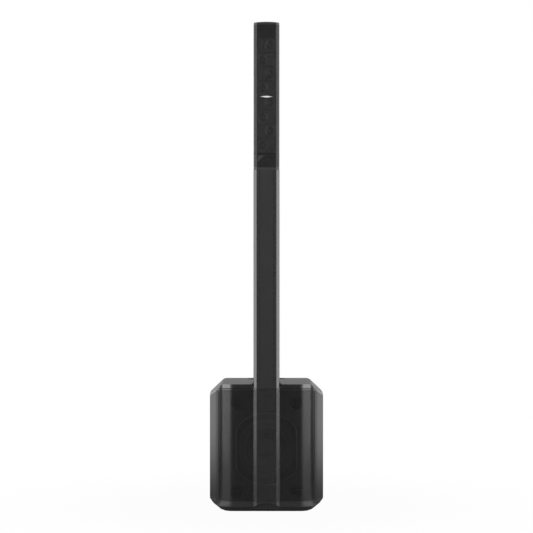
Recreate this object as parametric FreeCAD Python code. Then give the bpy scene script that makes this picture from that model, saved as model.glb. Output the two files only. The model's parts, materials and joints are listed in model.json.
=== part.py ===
import FreeCAD, Part
import math
import os

# A column loudspeaker: a base cabinet with a woofer and an amplifier, a spacer
# column that plugs into its top, and a line array of eight small drivers that
# plugs into the spacer.  Millimetres, +Z up, the front faces -Y, and the origin
# is on the floor at the middle of the object.

Vector = FreeCAD.Vector
AXIS_X = Vector(1, 0, 0)
AXIS_Y = Vector(0, 1, 0)
AXIS_Z = Vector(0, 0, 1)

# ---------------------------------------------------------------- driving sizes
# Base cabinet, outside
base_half_width = 233.5
base_depth = 430.0
base_height = 513.0
front_y = -base_depth / 2
rear_y = base_depth / 2
widest_from_front = 220.0
seam_half_width = 194.0
seam_from_front = 60.0
flank_half_width = 133.0
side_step_half_width = 206.5
side_step_from_front = 90.0
spine_protrusion = 12.0
spine_front_half_width = 40.0
spine_root_half_width = 52.0
rear_corner_r = 40.0
side_bend_r = 60.0

# Cabinet walls and caps
shell_wall = 10.0
seam_gap = 0.4
cap_band = 16.0
cap_side_band = 9.0
cap_wall = 5.0
cap_chamfer_width = 55.5
cap_chamfer_drop = 52.0
cap_ridge_r = 28.0
foot_cap_height = 40.0
foot_bevel_height = 22.0
foot_bevel_inset = 24.0
foot_side_rise = 31.0
foot_side_run = 50.0
foot_cap_wall = 8.0
foot_r = 14.0
foot_lift = 1.6
foot_thickness = 6.0
arch_half_width = 49.0
arch_height = 15.0

# Front grille and baffle
grille_sheet = 2.0
baffle_from_front = 49.0
baffle_thickness = 26.0
baffle_half_width = 178.0
recess_r = 146.0
recess_half_width = 120.0
recess_corner_r = 25.0
recess_depth = 16.0
rail_depth = 15.0
port_r = 28.0
port_wall = 2.5
port_length = 112.0
port_low = (120.0, 79.0)
port_high = (120.0, 436.0)

# Woofer, from its flange to its back plate
woofer_z = 250.0
woofer_flange_r = 117.0
woofer_hole_r = 104.5
woofer_frame_r = 103.0
woofer_flange_t = 6.0
woofer_frame_depth = 62.0
woofer_frame_wall = 3.0
woofer_seat_r = 62.0
woofer_cone_r = 80.0
woofer_cone_depth = 42.0
woofer_roll_r = 7.0
woofer_travel = 5.0
coil_r = 26.0
coil_wall = 1.0
coil_gap = 1.6
magnet_r = 68.0
magnet_t = 20.0
plate_t = 6.0
woofer_screw_count = 8

# Column: the section that the spacer and the array share
column_front_half_width = 40.0
column_half_width = 53.0
column_shoulder_step = 2.5
column_shoulder_depth = 6.5
column_facet_depth = 38.0
column_depth = 110.0
column_back_bevel = 16.0
array_side_step = 1.0
array_front_step = 1.0
column_wall = 3.0
spacer_length = 874.0
array_length = 592.0

# Joints of the column: rectangular tongues in sockets
notch_gap = 4.0
notch_floor_drop = 15.0
floor_plate_t = 6.0
tongue_half_width = 28.0
tongue_front = 27.0
tongue_back = 88.0
base_tongue_length = 80.0
array_tongue_length = 70.0
tongue_wall = 4.0
socket_wall = 6.0
socket_clearance = 0.4
rest_gap = 0.3
contact_height = 4.0

# Spacer front strip
strip_half_width = 28.0
strip_thickness = 3.5
channel_half_width = 30.0
channel_depth = 5.0
channel_web = 3.0
cable_r = 4.0

# Array
rim_height = 6.0
crown_rise = 3.0
array_sheet = 1.5
driver_count = 8
driver_pitch = 57.5
driver_top_drop = 90.5
driver_yaw = 17.0
driver_offset = 11.0
driver_frame_r = 26.0
driver_cone_r = 18.5
driver_magnet_r = 15.0
driver_travel = 1.0
driver_depth = 30.0
seat_half_width = 38.0
seat_thickness = 5.0
web_t = 2.5
seat_from_front = 26.0
baffle_tail = 11.0
badge_width = 52.0
badge_flat_width = 8.0
badge_height = 6.5
badge_drop = 299.5
bracket_size = 24.0

# Rear panel and what it carries
panel_half_width = 128.0
panel_bottom = 118.0
panel_top = 447.0
panel_t = 3.0
panel_recess = 23.0
recess_wall = 8.0
panel_lip = 10.0
panel_clearance = 0.4
board_from_panel = 22.0
board_t = 2.0
sink_half_width = 80.0
sink_bottom = 165.0
sink_top = 255.0
sink_base_t = 4.0
fin_height = 16.0
fin_t = 2.0
fin_count = 15
knob_r = 8.5
knob_height = 15.0
shaft_r = 3.0
shaft_clearance = 0.05
encoder_r = 12.0
encoder_push = 0.8
button_r = 5.0
button_rise = 2.5
button_travel = 1.2
button_gap = 0.4
combo_r = 9.6
combo_depth = 14.0
combo_body_r = 11.8
jack_r = 3.25
jack_depth = 28.0
latch_travel = 1.0

# Carrying handle in the top
handle_half_width = 75.0
handle_front = 105.0
handle_back = 195.0
handle_depth = 52.0
cup_wall = 3.0
grip_depth = 28.0
grip_height = 20.0
grip_drop = 2.0

# ------------------------------------------------------------ places worked out
flank_y = front_y + spine_protrusion
seam_y = front_y + seam_from_front
widest_y = front_y + widest_from_front
side_step_y = front_y + side_step_from_front
baffle_y = front_y + baffle_from_front
baffle_back_y = baffle_y + baffle_thickness
recess_floor_y = baffle_y + recess_depth
notch_floor_z = base_height - notch_floor_drop
spacer_z = notch_floor_z + rest_gap
joint_z = notch_floor_z + spacer_length
array_z = joint_z + rest_gap
column_top_z = joint_z + array_length
column_back_y = front_y + column_depth
tongue_y0 = front_y + tongue_front
tongue_y1 = front_y + tongue_back
panel_out_y = rear_y - panel_recess
panel_in_y = panel_out_y - panel_t
board_y = panel_in_y - board_from_panel
shell_inner_y = rear_y - shell_wall
cap_under_z = base_height - cap_band
array_half_width = column_half_width - array_side_step
driver_top_z = column_top_z - driver_top_drop
badge_z = column_top_z - badge_drop


# --------------------------------------------------------------------- helpers
def box(x0, x1, y0, y1, z0, z1):
    return Part.makeBox(x1 - x0, y1 - y0, z1 - z0, Vector(x0, y0, z0))


def rounded_edges(corners, closed):
    """Edges through (x, y, radius) corners, with a tangent arc at each radius."""
    count = len(corners)
    ends = []
    for i in range(count):
        x, y, r = corners[i]
        here = Vector(x, y, 0)
        if r <= 0:
            ends.append((here, None, here))
            continue
        before = Vector(corners[i - 1][0], corners[i - 1][1], 0)
        after = Vector(corners[(i + 1) % count][0], corners[(i + 1) % count][1], 0)
        back = (before - here).normalize()
        ahead = (after - here).normalize()
        half = back.getAngle(ahead) / 2
        reach = r / math.tan(half)
        middle = (back + ahead).normalize()
        centre = here + middle * (r / math.sin(half))
        ends.append((here + back * reach, centre - middle * r, here + ahead * reach))
    edges = []
    for i in range(count):
        start, top, end = ends[i]
        if top is not None:
            edges.append(Part.Arc(start, top, end).toShape())
        if not closed and i == count - 1:
            break
        following = ends[(i + 1) % count][0]
        if (following - end).Length > 1e-6:
            edges.append(Part.LineSegment(end, following).toShape())
    return edges


def rounded_wire(corners):
    """Closed wire through (x, y, radius) corners."""
    return Part.Wire(rounded_edges(corners, True))


def prism(corners, z0, z1):
    wire = rounded_wire(corners)
    wire.translate(Vector(0, 0, z0))
    return Part.Face(wire).extrude(Vector(0, 0, z1 - z0))


def mirrored(corners):
    """A left-right symmetric outline from its right half, given front to back."""
    left = [(-x, y, r) for x, y, r in reversed(corners)]
    return corners + left


def xz_prism(points, y0, y1):
    """A solid of constant section along Y from points in the XZ plane."""
    wire = Part.makePolygon([Vector(x, y0, z) for x, z in points + points[:1]])
    return Part.Face(wire).extrude(Vector(0, y1 - y0, 0))


def turned(points):
    """A solid of revolution about Z from (radius, height) points."""
    wire = Part.makePolygon([Vector(r, 0, h) for r, h in points + points[:1]])
    return Part.Face(wire).revolve(Vector(0, 0, 0), AXIS_Z, 360)


def tube(r_out, r_in, h0, h1):
    outer = Part.makeCylinder(r_out, h1 - h0, Vector(0, 0, h0))
    return outer.cut(Part.makeCylinder(r_in, h1 - h0, Vector(0, 0, h0)))


def to_rear(shape, x, y, z):
    """Turn a shape built up along +Z to run along +Y, from the given place."""
    placed = shape.copy()
    placed.rotate(Vector(0, 0, 0), AXIS_X, -90)
    placed.translate(Vector(x, y, z))
    return placed


def rod_y(r, x, z, y0, y1):
    return Part.makeCylinder(r, y1 - y0, Vector(x, y0, z), AXIS_Y)


def fuse(shapes):
    joined = shapes[0]
    if len(shapes) > 1:
        joined = joined.fuse(shapes[1:])
    return joined.removeSplitter()


def set_in(before, here, after, inset):
    """A corner of an anticlockwise outline, moved in by inset from both its sides."""
    first = Vector(here[0] - before[0], here[1] - before[1], 0).normalize()
    second = Vector(after[0] - here[0], after[1] - here[1], 0).normalize()
    normals = Vector(-first.y - second.y, first.x + second.x, 0)
    share = inset / (1 + first.dot(second))
    return (here[0] + normals.x * share, here[1] + normals.y * share)


def save(name, shape):
    shape.exportStep("parts/" + name + ".step")


# ------------------------------------------------------------- plan outlines
def corner_arc_r():
    """Radius of the grille's corner, tangent to the flat flank."""
    run = seam_half_width - flank_half_width
    rise = seam_y - flank_y
    return (run * run + rise * rise) / (2 * rise)


def front_edges(inset, spine):
    """Edges from the left seam round the front to the right seam, set in by inset."""
    r = corner_arc_r() - inset
    centre_y = flank_y + corner_arc_r()
    turn = math.asin((seam_half_width - flank_half_width) / corner_arc_r())
    points = []
    for share in (1.0, 0.5, 0.0):
        angle = turn * share
        x = flank_half_width + r * math.sin(angle)
        points.append((x, centre_y - r * math.cos(angle)))
    edges = []

    def line(a, b):
        edges.append(Part.LineSegment(Vector(a[0], a[1], 0), Vector(b[0], b[1], 0)).toShape())

    def arc(a, b, c):
        nodes = [Vector(p[0], p[1], 0) for p in (a, b, c)]
        edges.append(Part.Arc(nodes[0], nodes[1], nodes[2]).toShape())

    left = [(-x, y) for x, y in points]
    arc(left[0], left[1], left[2])
    y = points[2][1]
    if spine:
        lean = (spine_root_half_width - spine_front_half_width) / spine_protrusion
        slant = math.hypot(1.0, lean) * inset
        root = spine_root_half_width - slant + inset * lean
        nose = spine_front_half_width - slant + inset * lean
        path = [left[2], (-root, y), (-nose, front_y + inset)]
        path += [(nose, front_y + inset), (root, y), points[2]]
    else:
        path = [left[2], points[2]]
    for a, b in zip(path, path[1:]):
        line(a, b)
    arc(points[2], points[1], points[0])
    return edges, points[0]


def outline_face(inset, spine):
    """The cabinet's whole plan, set in by inset."""
    edges, seam = front_edges(inset, spine)
    wide = base_half_width - inset
    back = rear_y - inset
    step = set_in(
        (seam_half_width, seam_y),
        (side_step_half_width, side_step_y),
        (base_half_width, widest_y),
        inset,
    )
    side = [
        (seam[0], seam[1], 0),
        (step[0], step[1], 0),
        (wide, widest_y, side_bend_r),
        (wide, back, rear_corner_r - inset),
    ]
    edges += rounded_edges(mirrored(side), False)
    return Part.Face(Part.Wire(Part.sortEdges(edges)[0]))


def outline_solid(inset, spine, z0, z1):
    face = outline_face(inset, spine)
    face.translate(Vector(0, 0, z0))
    return face.extrude(Vector(0, 0, z1 - z0))


def roof(top_z, side_z, ridge_r):
    """Everything under the top: flat in the middle, sloping to side_z at the sides."""
    ridge = base_half_width - cap_chamfer_width
    steep = cap_chamfer_drop / cap_chamfer_width
    if side_z < base_height - cap_chamfer_drop:
        ridge = base_half_width - (top_z - side_z) / steep
    reach = 40.0
    low = side_z - reach * steep
    wide = base_half_width + reach
    corners = mirrored([(wide, -1.0, 0), (wide, low, 0), (ridge, top_z, ridge_r)])
    wire = rounded_wire(corners)
    wire.rotate(Vector(0, 0, 0), AXIS_X, 90)
    wire.translate(Vector(0, rear_y + 1, 0))
    return Part.Face(wire).extrude(Vector(0, -base_depth - 2, 0))


def under_cap():
    side_z = base_height - cap_chamfer_drop - cap_side_band
    return roof(cap_under_z, side_z, 0)


# ------------------------------------------------------------ base: the cabinet
def make_cabinet_shell():
    low = foot_cap_height + seam_gap
    body = outline_solid(0, False, low, base_height)
    body = body.common(box(-300, 300, seam_y, rear_y + 1, low, base_height))
    hollow = outline_solid(shell_wall, False, low - 1, base_height + 1)
    body = body.cut(hollow)
    rails = []
    for side in (-1, 1):
        inner = side * (baffle_half_width - 6)
        outer = side * (seam_half_width + 4)
        y0 = baffle_back_y
        x0, x1 = min(inner, outer), max(inner, outer)
        rails.append(box(x0, x1, y0, y0 + rail_depth, low, base_height))
    rails = [rail.common(outline_solid(1, False, low, base_height)) for rail in rails]
    body = fuse([body] + rails)
    trim = under_cap()
    trim.translate(Vector(0, 0, -seam_gap))
    body = body.common(trim)
    w = recess_wall
    half = panel_half_width
    lip_y0 = panel_in_y - 5
    frame = box(-half - w, half + w, lip_y0, shell_inner_y + 1, panel_bottom - w, panel_top + w)
    c = panel_clearance
    pocket = box(-half - c, half + c, panel_in_y, rear_y + 1, panel_bottom - c, panel_top + c)
    lip = panel_lip
    window = box(-half + lip, half - lip, lip_y0 - 1, rear_y, panel_bottom + lip, panel_top - lip)
    return body.fuse(frame).cut(pocket).cut(window).removeSplitter()


def notch_box(gap, z0, z1):
    half = column_half_width + gap
    return box(-half, half, front_y - 1, column_back_y + gap, z0, z1)


def tongue(clear, z0, z1):
    half = tongue_half_width + clear
    return box(-half, half, tongue_y0 - clear, tongue_y1 + clear, z0, z1)


def handle_pocket(inset, z0, z1):
    half = handle_half_width - inset
    corners = [
        (half, handle_front + inset, 12),
        (half, handle_back - inset, 12),
        (-half, handle_back - inset, 12),
        (-half, handle_front + inset, 12),
    ]
    return prism(corners, z0, z1)


def make_top_cap():
    low = base_height - cap_chamfer_drop - cap_side_band - 10
    body = outline_solid(0, False, low, base_height)
    body = body.common(roof(base_height, base_height - cap_chamfer_drop, cap_ridge_r))
    body = body.cut(under_cap())
    inner_half = base_half_width - cap_chamfer_width - 10
    hollow = outline_solid(foot_cap_wall, False, cap_under_z - 1, base_height - cap_wall)
    hollow = hollow.common(box(-inner_half, inner_half, -300, 300, 0, base_height))
    body = body.cut(hollow)
    walls = notch_box(notch_gap + cap_wall, notch_floor_z - floor_plate_t, base_height - 1)
    walls = walls.common(outline_solid(0, True, 0, base_height))
    floor = outline_solid(0, True, notch_floor_z - 2, notch_floor_z)
    half = spine_root_half_width
    floor = floor.common(box(-half, half, front_y, flank_y + floor_plate_t, 0, base_height))
    cup = handle_pocket(-cup_wall, base_height - handle_depth - cup_wall, base_height - 1)
    blank = notch_box(notch_gap, notch_floor_z, base_height + 1)
    wall_y = flank_y + grille_sheet + seam_gap
    walls_back = walls.common(box(-100, 100, wall_y, column_back_y + 50, 0, base_height))
    body = fuse([body, walls_back, floor, cup])
    body = body.cut(blank)
    body = body.cut(tongue(socket_clearance, 0, base_height))
    body = body.cut(handle_pocket(0, base_height - handle_depth, base_height + 1))
    return body.removeSplitter()


def underside_roof():
    """Everything above the sloping sides of the underside."""
    run = base_half_width - foot_side_run
    reach = 40.0
    high = foot_side_rise + reach * foot_side_rise / foot_side_run
    wide = base_half_width + reach
    points = [(-run, foot_lift), (run, foot_lift), (wide, high), (wide, 200), (-wide, 200), (-wide, high)]
    return xz_prism(points, front_y - 1, rear_y + 1)


def make_bottom_cap():
    body = outline_solid(0, True, foot_bevel_height, foot_cap_height)
    lower = outline_face(0, False)
    upper = lower.copy()
    upper.translate(Vector(0, 0, foot_bevel_height))
    bottom = outline_face(foot_bevel_inset, False)
    bottom.translate(Vector(0, 0, foot_lift))
    bevel = Part.makeLoft([upper.OuterWire, bottom.OuterWire], True, True)
    body = fuse([body, bevel])
    body = body.common(underside_roof())
    inside_z = foot_lift + foot_cap_wall
    inset = foot_bevel_inset + foot_cap_wall
    hollow = outline_solid(inset, False, inside_z, foot_cap_height + 1)
    slopes = underside_roof()
    slopes.translate(Vector(0, 0, foot_cap_wall))
    body = body.cut(hollow.common(slopes))
    rail = box(-baffle_half_width, baffle_half_width, baffle_y, baffle_back_y, inside_z, foot_cap_height)
    body = fuse([body, rail.common(outline_solid(foot_cap_wall, False, 0, 100))])
    arch_r = (arch_half_width ** 2 + arch_height ** 2) / (2 * arch_height)
    arch_top = foot_cap_height - 2
    scoop = rod_y(arch_r, 0, arch_top - arch_r, front_y - 1, flank_y + 12)
    body = body.cut(scoop)
    for x, y in foot_places():
        pocket = Part.makeCylinder(foot_r + 0.2, foot_thickness - foot_lift, Vector(x, y, foot_lift))
        body = body.cut(pocket)
    return body.removeSplitter()


def foot_places():
    return [(sx * 140.0, y) for sx in (-1, 1) for y in (-110.0, 150.0)]


def make_rubber_feet():
    feet = []
    for x, y in foot_places():
        foot = Part.makeCylinder(foot_r, foot_thickness, Vector(x, y, 0))
        edges = [e for e in foot.Edges if abs(e.BoundBox.ZMax) < 0.01]
        feet.append(foot.makeFillet(1.5, edges))
    return Part.makeCompound(feet)


def make_front_grille():
    low = foot_cap_height + seam_gap
    high = notch_floor_z - 2 - seam_gap
    outer, seam = front_edges(0, True)
    inner, inner_seam = front_edges(grille_sheet, True)
    ends = []
    for sign in (1, -1):
        a = Vector(sign * seam[0], seam[1], 0)
        b = Vector(sign * inner_seam[0], inner_seam[1], 0)
        ends.append(Part.LineSegment(a, b).toShape())
    wire = Part.Wire(Part.sortEdges(outer + inner + ends)[0])
    face = Part.Face(wire)
    face.translate(Vector(0, 0, low))
    sheet = face.extrude(Vector(0, 0, high - low))
    flanges = []
    for sign in (1, -1):
        x0 = seam_half_width - shell_wall
        x1 = seam_half_width - 1.5
        a, b = sorted((sign * x0, sign * x1))
        flanges.append(box(a, b, seam_y - grille_sheet, seam_y - 0.05, low, high))
    sheet = fuse([sheet] + flanges)
    trim = under_cap()
    trim.translate(Vector(0, 0, -seam_gap))
    sheet = sheet.common(trim)
    sheet = sheet.common(box(-300, 300, front_y - 1, seam_y - 0.05, 0, base_height))
    return sheet.removeSplitter()


def recess_block():
    """The woofer's recess: a disc with two flat sides, with its corners rounded."""
    disc = Part.makeCylinder(recess_r, recess_depth + 1, Vector(0, 0, -1))
    wide = recess_half_width
    block = disc.common(box(-wide, wide, -recess_r - 1, recess_r + 1, -1, recess_depth))
    corners = [e for e in block.Edges if e.BoundBox.XLength < 0.01 and e.BoundBox.YLength < 0.01]
    corners = [e for e in corners if abs(e.BoundBox.XMax) > wide - 0.01]
    return block.makeFillet(recess_corner_r, corners)


def port_places():
    return [(sign * x, z) for x, z in (port_low, port_high) for sign in (-1, 1)]


def make_baffle_board():
    low = foot_cap_height
    high = cap_under_z - 3
    board = box(-baffle_half_width, baffle_half_width, baffle_y, baffle_back_y, low, high)
    board = board.cut(to_rear(recess_block(), 0, baffle_y, woofer_z))
    board = board.cut(rod_y(woofer_hole_r, 0, woofer_z, baffle_y, baffle_back_y + 1))
    for x, z in port_places():
        board = board.cut(rod_y(port_r + port_wall, x, z, baffle_y - 1, baffle_back_y + 1))
    half = tongue_half_width + socket_wall + 8
    low_cut = notch_floor_z - base_tongue_length - 18
    board = board.cut(box(-half, half, baffle_y - 1, baffle_back_y + 1, low_cut, base_height))
    trim = under_cap()
    trim.translate(Vector(0, 0, -cap_wall))
    return board.common(trim).removeSplitter()


def make_port_tubes():
    tubes = []
    for x, z in port_places():
        pipe = tube(port_r + port_wall, port_r, 0, port_length)
        tubes.append(to_rear(pipe, x, baffle_y, z))
    return Part.makeCompound(tubes)


# ------------------------------------------------------------- base: the woofer
def make_woofer_basket():
    deep = woofer_frame_depth
    wall = woofer_frame_wall
    r = woofer_frame_r
    seat = woofer_seat_r
    profile = [
        (r - 5, -woofer_flange_t),
        (woofer_flange_r, -woofer_flange_t),
        (woofer_flange_r, 0),
        (r, 0),
        (r, 14),
        (seat, deep),
        (seat, deep + 4),
        (coil_r + 4, deep + 4),
        (coil_r + 4, deep),
        (seat - wall, deep),
        (seat - wall, deep - 3),
        (r - wall, 12),
        (r - wall, 0),
        (r - 5, 0),
    ]
    basket = turned(profile)
    for i in range(6):
        slot = box(-24, 24, 0, 140, 18, deep - 8)
        slot = slot.cut(Part.makeCylinder(seat, 200))
        slot.rotate(Vector(0, 0, 0), AXIS_Z, 60 * i)
        basket = basket.cut(slot)
    for i in range(woofer_screw_count):
        angle = math.radians(360 / woofer_screw_count * (i + 0.5))
        x = (woofer_flange_r - 6) * math.cos(angle)
        y = (woofer_flange_r - 6) * math.sin(angle)
        basket = basket.cut(Part.makeCylinder(2.6, 30, Vector(x, y, -20)))
    terminal = box(70, 84, -9, 9, 43, 49)
    terminal = terminal.cut(Part.makeCylinder(seat + 4, 100))
    return to_rear(fuse([basket, terminal]), 0, recess_floor_y, woofer_z)


def make_woofer_screws():
    screws = []
    for i in range(woofer_screw_count):
        angle = math.radians(360 / woofer_screw_count * (i + 0.5))
        x = (woofer_flange_r - 6) * math.cos(angle)
        y = (woofer_flange_r - 6) * math.sin(angle)
        head = Part.makeCylinder(5.0, 3.0, Vector(x, y, -woofer_flange_t - 3))
        shank = Part.makeCylinder(2.5, woofer_flange_t + 1, Vector(x, y, -woofer_flange_t - 1))
        drive = prism(hexagon(2.0), -woofer_flange_t - 4, -woofer_flange_t - 1.5)
        drive.translate(Vector(x, y, 0))
        screws.append(to_rear(head.fuse(shank).cut(drive), 0, recess_floor_y, woofer_z))
    return Part.makeCompound(screws)


def hexagon(r):
    turns = [math.radians(60 * i) for i in range(6)]
    return [(r * math.cos(t), r * math.sin(t), 0) for t in turns]


def make_roll(r_in, roll, lip, base_h, sheet):
    """A half-roll ring: a torus cut in half, with an outer lip to glue down."""
    middle = r_in + roll
    torus = Part.makeTorus(middle, roll, Vector(0, 0, base_h), AXIS_Z)
    inside = Part.makeTorus(middle, roll - sheet, Vector(0, 0, base_h), AXIS_Z)
    keep = Part.makeCylinder(middle + roll + 1, roll + 1, Vector(0, 0, base_h - roll - 1))
    ring = torus.cut(inside).common(keep)
    flat = tube(middle + roll + lip, middle + roll - sheet, base_h - sheet, base_h)
    flat = flat.cut(inside)
    return ring.fuse(flat).removeSplitter()


def make_woofer_surround():
    lip = woofer_flange_r - 12 - (woofer_cone_r + 0.5 + 2 * woofer_roll_r)
    ring = make_roll(woofer_cone_r + 0.5, woofer_roll_r, lip, -woofer_flange_t, 1.2)
    return to_rear(ring, 0, recess_floor_y, woofer_z)


def make_woofer_cone():
    start = -woofer_flange_t
    end = start + woofer_cone_depth
    r = coil_r
    profile = [
        (woofer_cone_r, start),
        (woofer_cone_r, start + 1.5),
        (r + coil_wall, end + 1.5),
        (r + coil_wall, woofer_frame_depth + 8),
        (r, woofer_frame_depth + 8),
        (r, end),
    ]
    return to_rear(turned(profile), 0, recess_floor_y, woofer_z)


def make_woofer_dust_cap():
    r = 36.0
    start = -woofer_flange_t
    slope = woofer_cone_depth / (woofer_cone_r - coil_r)
    seat = start + (woofer_cone_r - r) * slope
    rise = 11.0
    ball = (r * r + rise * rise) / (2 * rise)
    dome = Part.makeSphere(ball, Vector(0, 0, seat - rise + ball))
    inner = Part.makeSphere(ball - 1.2, Vector(0, 0, seat - rise + ball))
    keep = Part.makeCylinder(r, rise + 2, Vector(0, 0, seat - rise - 2))
    return to_rear(dome.cut(inner).common(keep), 0, recess_floor_y, woofer_z)


def make_woofer_spider():
    h = woofer_frame_depth - 14
    disc = tube(woofer_seat_r + 12, coil_r + coil_wall + 0.3, h, h + 2)
    wide = woofer_frame_r - woofer_frame_wall - 0.2
    narrow = woofer_seat_r - woofer_frame_wall - 0.2
    limit = turned([(0, 0), (wide, 0), (wide, 12), (narrow, woofer_frame_depth - 3), (narrow, 80), (0, 80)])
    return to_rear(disc.common(limit), 0, recess_floor_y, woofer_z)


def make_woofer_top_plate():
    h = woofer_frame_depth + 4
    plate = tube(55, coil_r + coil_wall + coil_gap, h, h + plate_t)
    return to_rear(plate, 0, recess_floor_y, woofer_z)


def make_woofer_magnet():
    h = woofer_frame_depth + 4 + plate_t
    return to_rear(tube(magnet_r, coil_r + 6, h, h + magnet_t), 0, recess_floor_y, woofer_z)


def make_woofer_yoke():
    h = woofer_frame_depth + 4 + plate_t + magnet_t
    plate = Part.makeCylinder(magnet_r - 4, plate_t + 2, Vector(0, 0, h))
    pole = Part.makeCylinder(coil_r - coil_gap, magnet_t + plate_t + 1, Vector(0, 0, h - magnet_t - plate_t))
    vent = Part.makeCylinder(8, 60, Vector(0, 0, h - 40))
    return to_rear(fuse([plate, pole]).cut(vent), 0, recess_floor_y, woofer_z)


# ------------------------------------------------- base: socket for the column
def make_column_socket():
    top = notch_floor_z - floor_plate_t
    low = notch_floor_z - base_tongue_length - 4
    body = tongue(socket_wall, low - socket_wall, top)
    flange = tongue(socket_wall + 6, top - 4, top)
    flange = flange.common(outline_solid(grille_sheet + seam_gap, True, 0, base_height))
    return fuse([body, flange]).cut(tongue(socket_clearance, low, top + 1))


def contact_block(floor_z):
    middle = (tongue_y0 + tongue_y1) / 2
    block = box(-18, 18, middle - 10, middle + 10, floor_z, floor_z + contact_height - 1)
    pads = []
    for i in range(4):
        x = -12 + 8 * i
        pads.append(Part.makeCylinder(2, 1, Vector(x, middle, floor_z + contact_height - 1)))
    return fuse([block] + pads)


def make_socket_contacts():
    low = notch_floor_z - base_tongue_length - 4
    return contact_block(low)


# ------------------------------------------------------------------- the spacer
def column_corners(half_width, inset, step):
    """The column's plan, set in by inset, with its front set back by step."""
    trim = column_half_width - half_width
    right = [
        (column_front_half_width - trim, front_y + step),
        (half_width - column_shoulder_step, front_y + column_shoulder_depth),
        (half_width, front_y + column_facet_depth),
        (half_width, column_back_y - column_back_bevel),
        (half_width - column_back_bevel, column_back_y),
    ]
    radii = [0.8, 2.0, 3.0 if inset == 0 else 1.0, 6.0, 6.0]
    outline = [(-right[0][0], right[0][1])] + right + [(-right[-1][0], right[-1][1])]
    corners = []
    for before, here, after, r in zip(outline, right, outline[2:], radii):
        x, y = set_in(before, here, after, inset)
        corners.append((x, y, r))
    return mirrored(corners)


def make_spacer_extrusion():
    low = spacer_z
    high = joint_z
    body = prism(column_corners(column_half_width, 0, 0), low, high)
    hollow = prism(column_corners(column_half_width, column_wall, 0), low - 1, high + 1)
    web_y = front_y + channel_depth + channel_web
    hollow = hollow.common(box(-60, 60, web_y, column_back_y, low - 2, high + 2))
    body = body.cut(hollow)
    wide = channel_half_width
    channel = box(-wide, wide, front_y - 1, front_y + channel_depth, low - 1, high + 1)
    return body.cut(channel).removeSplitter()


def make_spacer_front_panel():
    y1 = front_y + channel_depth
    return box(-strip_half_width, strip_half_width, y1 - strip_thickness, y1, spacer_z, joint_z)


def plug_body(low, seat, plate_t, half_width, step):
    """A hollow tongue that hangs below a plate which closes the tube's end."""
    inner = prism(column_corners(half_width, column_wall + 0.2, step), seat, seat + plate_t)
    web_y = front_y + channel_depth + channel_web + 0.2
    inner = inner.common(box(-60, 60, web_y, column_back_y, seat, seat + plate_t))
    tail = tongue(0, low, seat + 1)
    bore = tongue(-tongue_wall, low + tongue_wall, seat + plate_t + 1)
    return fuse([inner, tail]).cut(bore)


def make_spacer_plug():
    return plug_body(spacer_z - base_tongue_length, spacer_z, 12, column_half_width, 0)


def make_spacer_socket():
    low = joint_z - array_tongue_length - 4
    body = tongue(socket_wall, low - socket_wall, joint_z)
    inner = prism(column_corners(column_half_width, column_wall + 0.2, 0), joint_z - 8, joint_z)
    web_y = front_y + channel_depth + channel_web + 0.2
    inner = inner.common(box(-60, 60, web_y, column_back_y, joint_z - 8, joint_z))
    return fuse([body, inner]).cut(tongue(socket_clearance, low, joint_z + 1))


def make_spacer_cable():
    middle = (tongue_y0 + tongue_y1) / 2
    low = spacer_z - base_tongue_length + tongue_wall
    high = joint_z - array_tongue_length - 4 - socket_wall
    return Part.makeCylinder(cable_r, high - low, Vector(0, middle, low))


# -------------------------------------------------------------------- the array
def make_array_plug():
    low = array_z - array_tongue_length
    rim = prism(column_corners(array_half_width, 0, array_front_step), array_z, array_z + rim_height)
    body = fuse([rim, tongue(0, low, array_z + 1)])
    return body.cut(tongue(-tongue_wall, low + tongue_wall, array_z + rim_height + 1))


def make_array_top_cap():
    low = column_top_z - rim_height
    body = prism(column_corners(array_half_width, 0, array_front_step), low, column_top_z)
    r = (array_half_width ** 2 + crown_rise ** 2) / (2 * crown_rise)
    return body.common(rod_y(r, 0, column_top_z - r, front_y - 1, column_back_y + 1))


def split_y():
    return front_y + column_facet_depth + 6


def make_array_grille():
    low = array_z + rim_height
    high = column_top_z - rim_height
    body = prism(column_corners(array_half_width, 0, array_front_step), low, high)
    hollow = prism(column_corners(array_half_width, array_sheet, array_front_step), low - 1, high + 1)
    keep = box(-60, 60, front_y, split_y(), low, high)
    return body.cut(hollow).common(keep)


def make_array_housing():
    low = array_z + rim_height
    high = column_top_z - rim_height
    body = prism(column_corners(array_half_width, 0, array_front_step), low, high)
    hollow = prism(column_corners(array_half_width, column_wall, array_front_step), low - 1, high + 1)
    keep = box(-60, 60, split_y(), column_back_y, low, high)
    shell = body.cut(hollow).common(keep)
    ledges = []
    for sign in (-1, 1):
        a, b = sorted((sign * (array_half_width - column_wall - 12), sign * (array_half_width - 1)))
        ledges.append(box(a, b, split_y(), split_y() + 5, low, high))
    return fuse([shell] + ledges)


def driver_places():
    """(x, z, yaw) of each driver, from the top, turned right and left in turn."""
    places = []
    for i in range(driver_count):
        side = 1 if i % 2 == 0 else -1
        places.append((side, driver_top_z - i * driver_pitch))
    return places


def at_driver(shape, side, z):
    """Place a shape built along +Z behind a driver's seat at the origin."""
    placed = shape.copy()
    placed.translate(Vector(driver_offset * side, 0, 0))
    return at_seat(placed, side, z)


def at_seat(shape, side, z):
    placed = shape.copy()
    placed.rotate(Vector(0, 0, 0), AXIS_X, -90)
    placed.rotate(Vector(0, 0, 0), AXIS_Z, driver_yaw * side)
    placed.translate(Vector(0, front_y + seat_from_front, z))
    return placed


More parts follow.
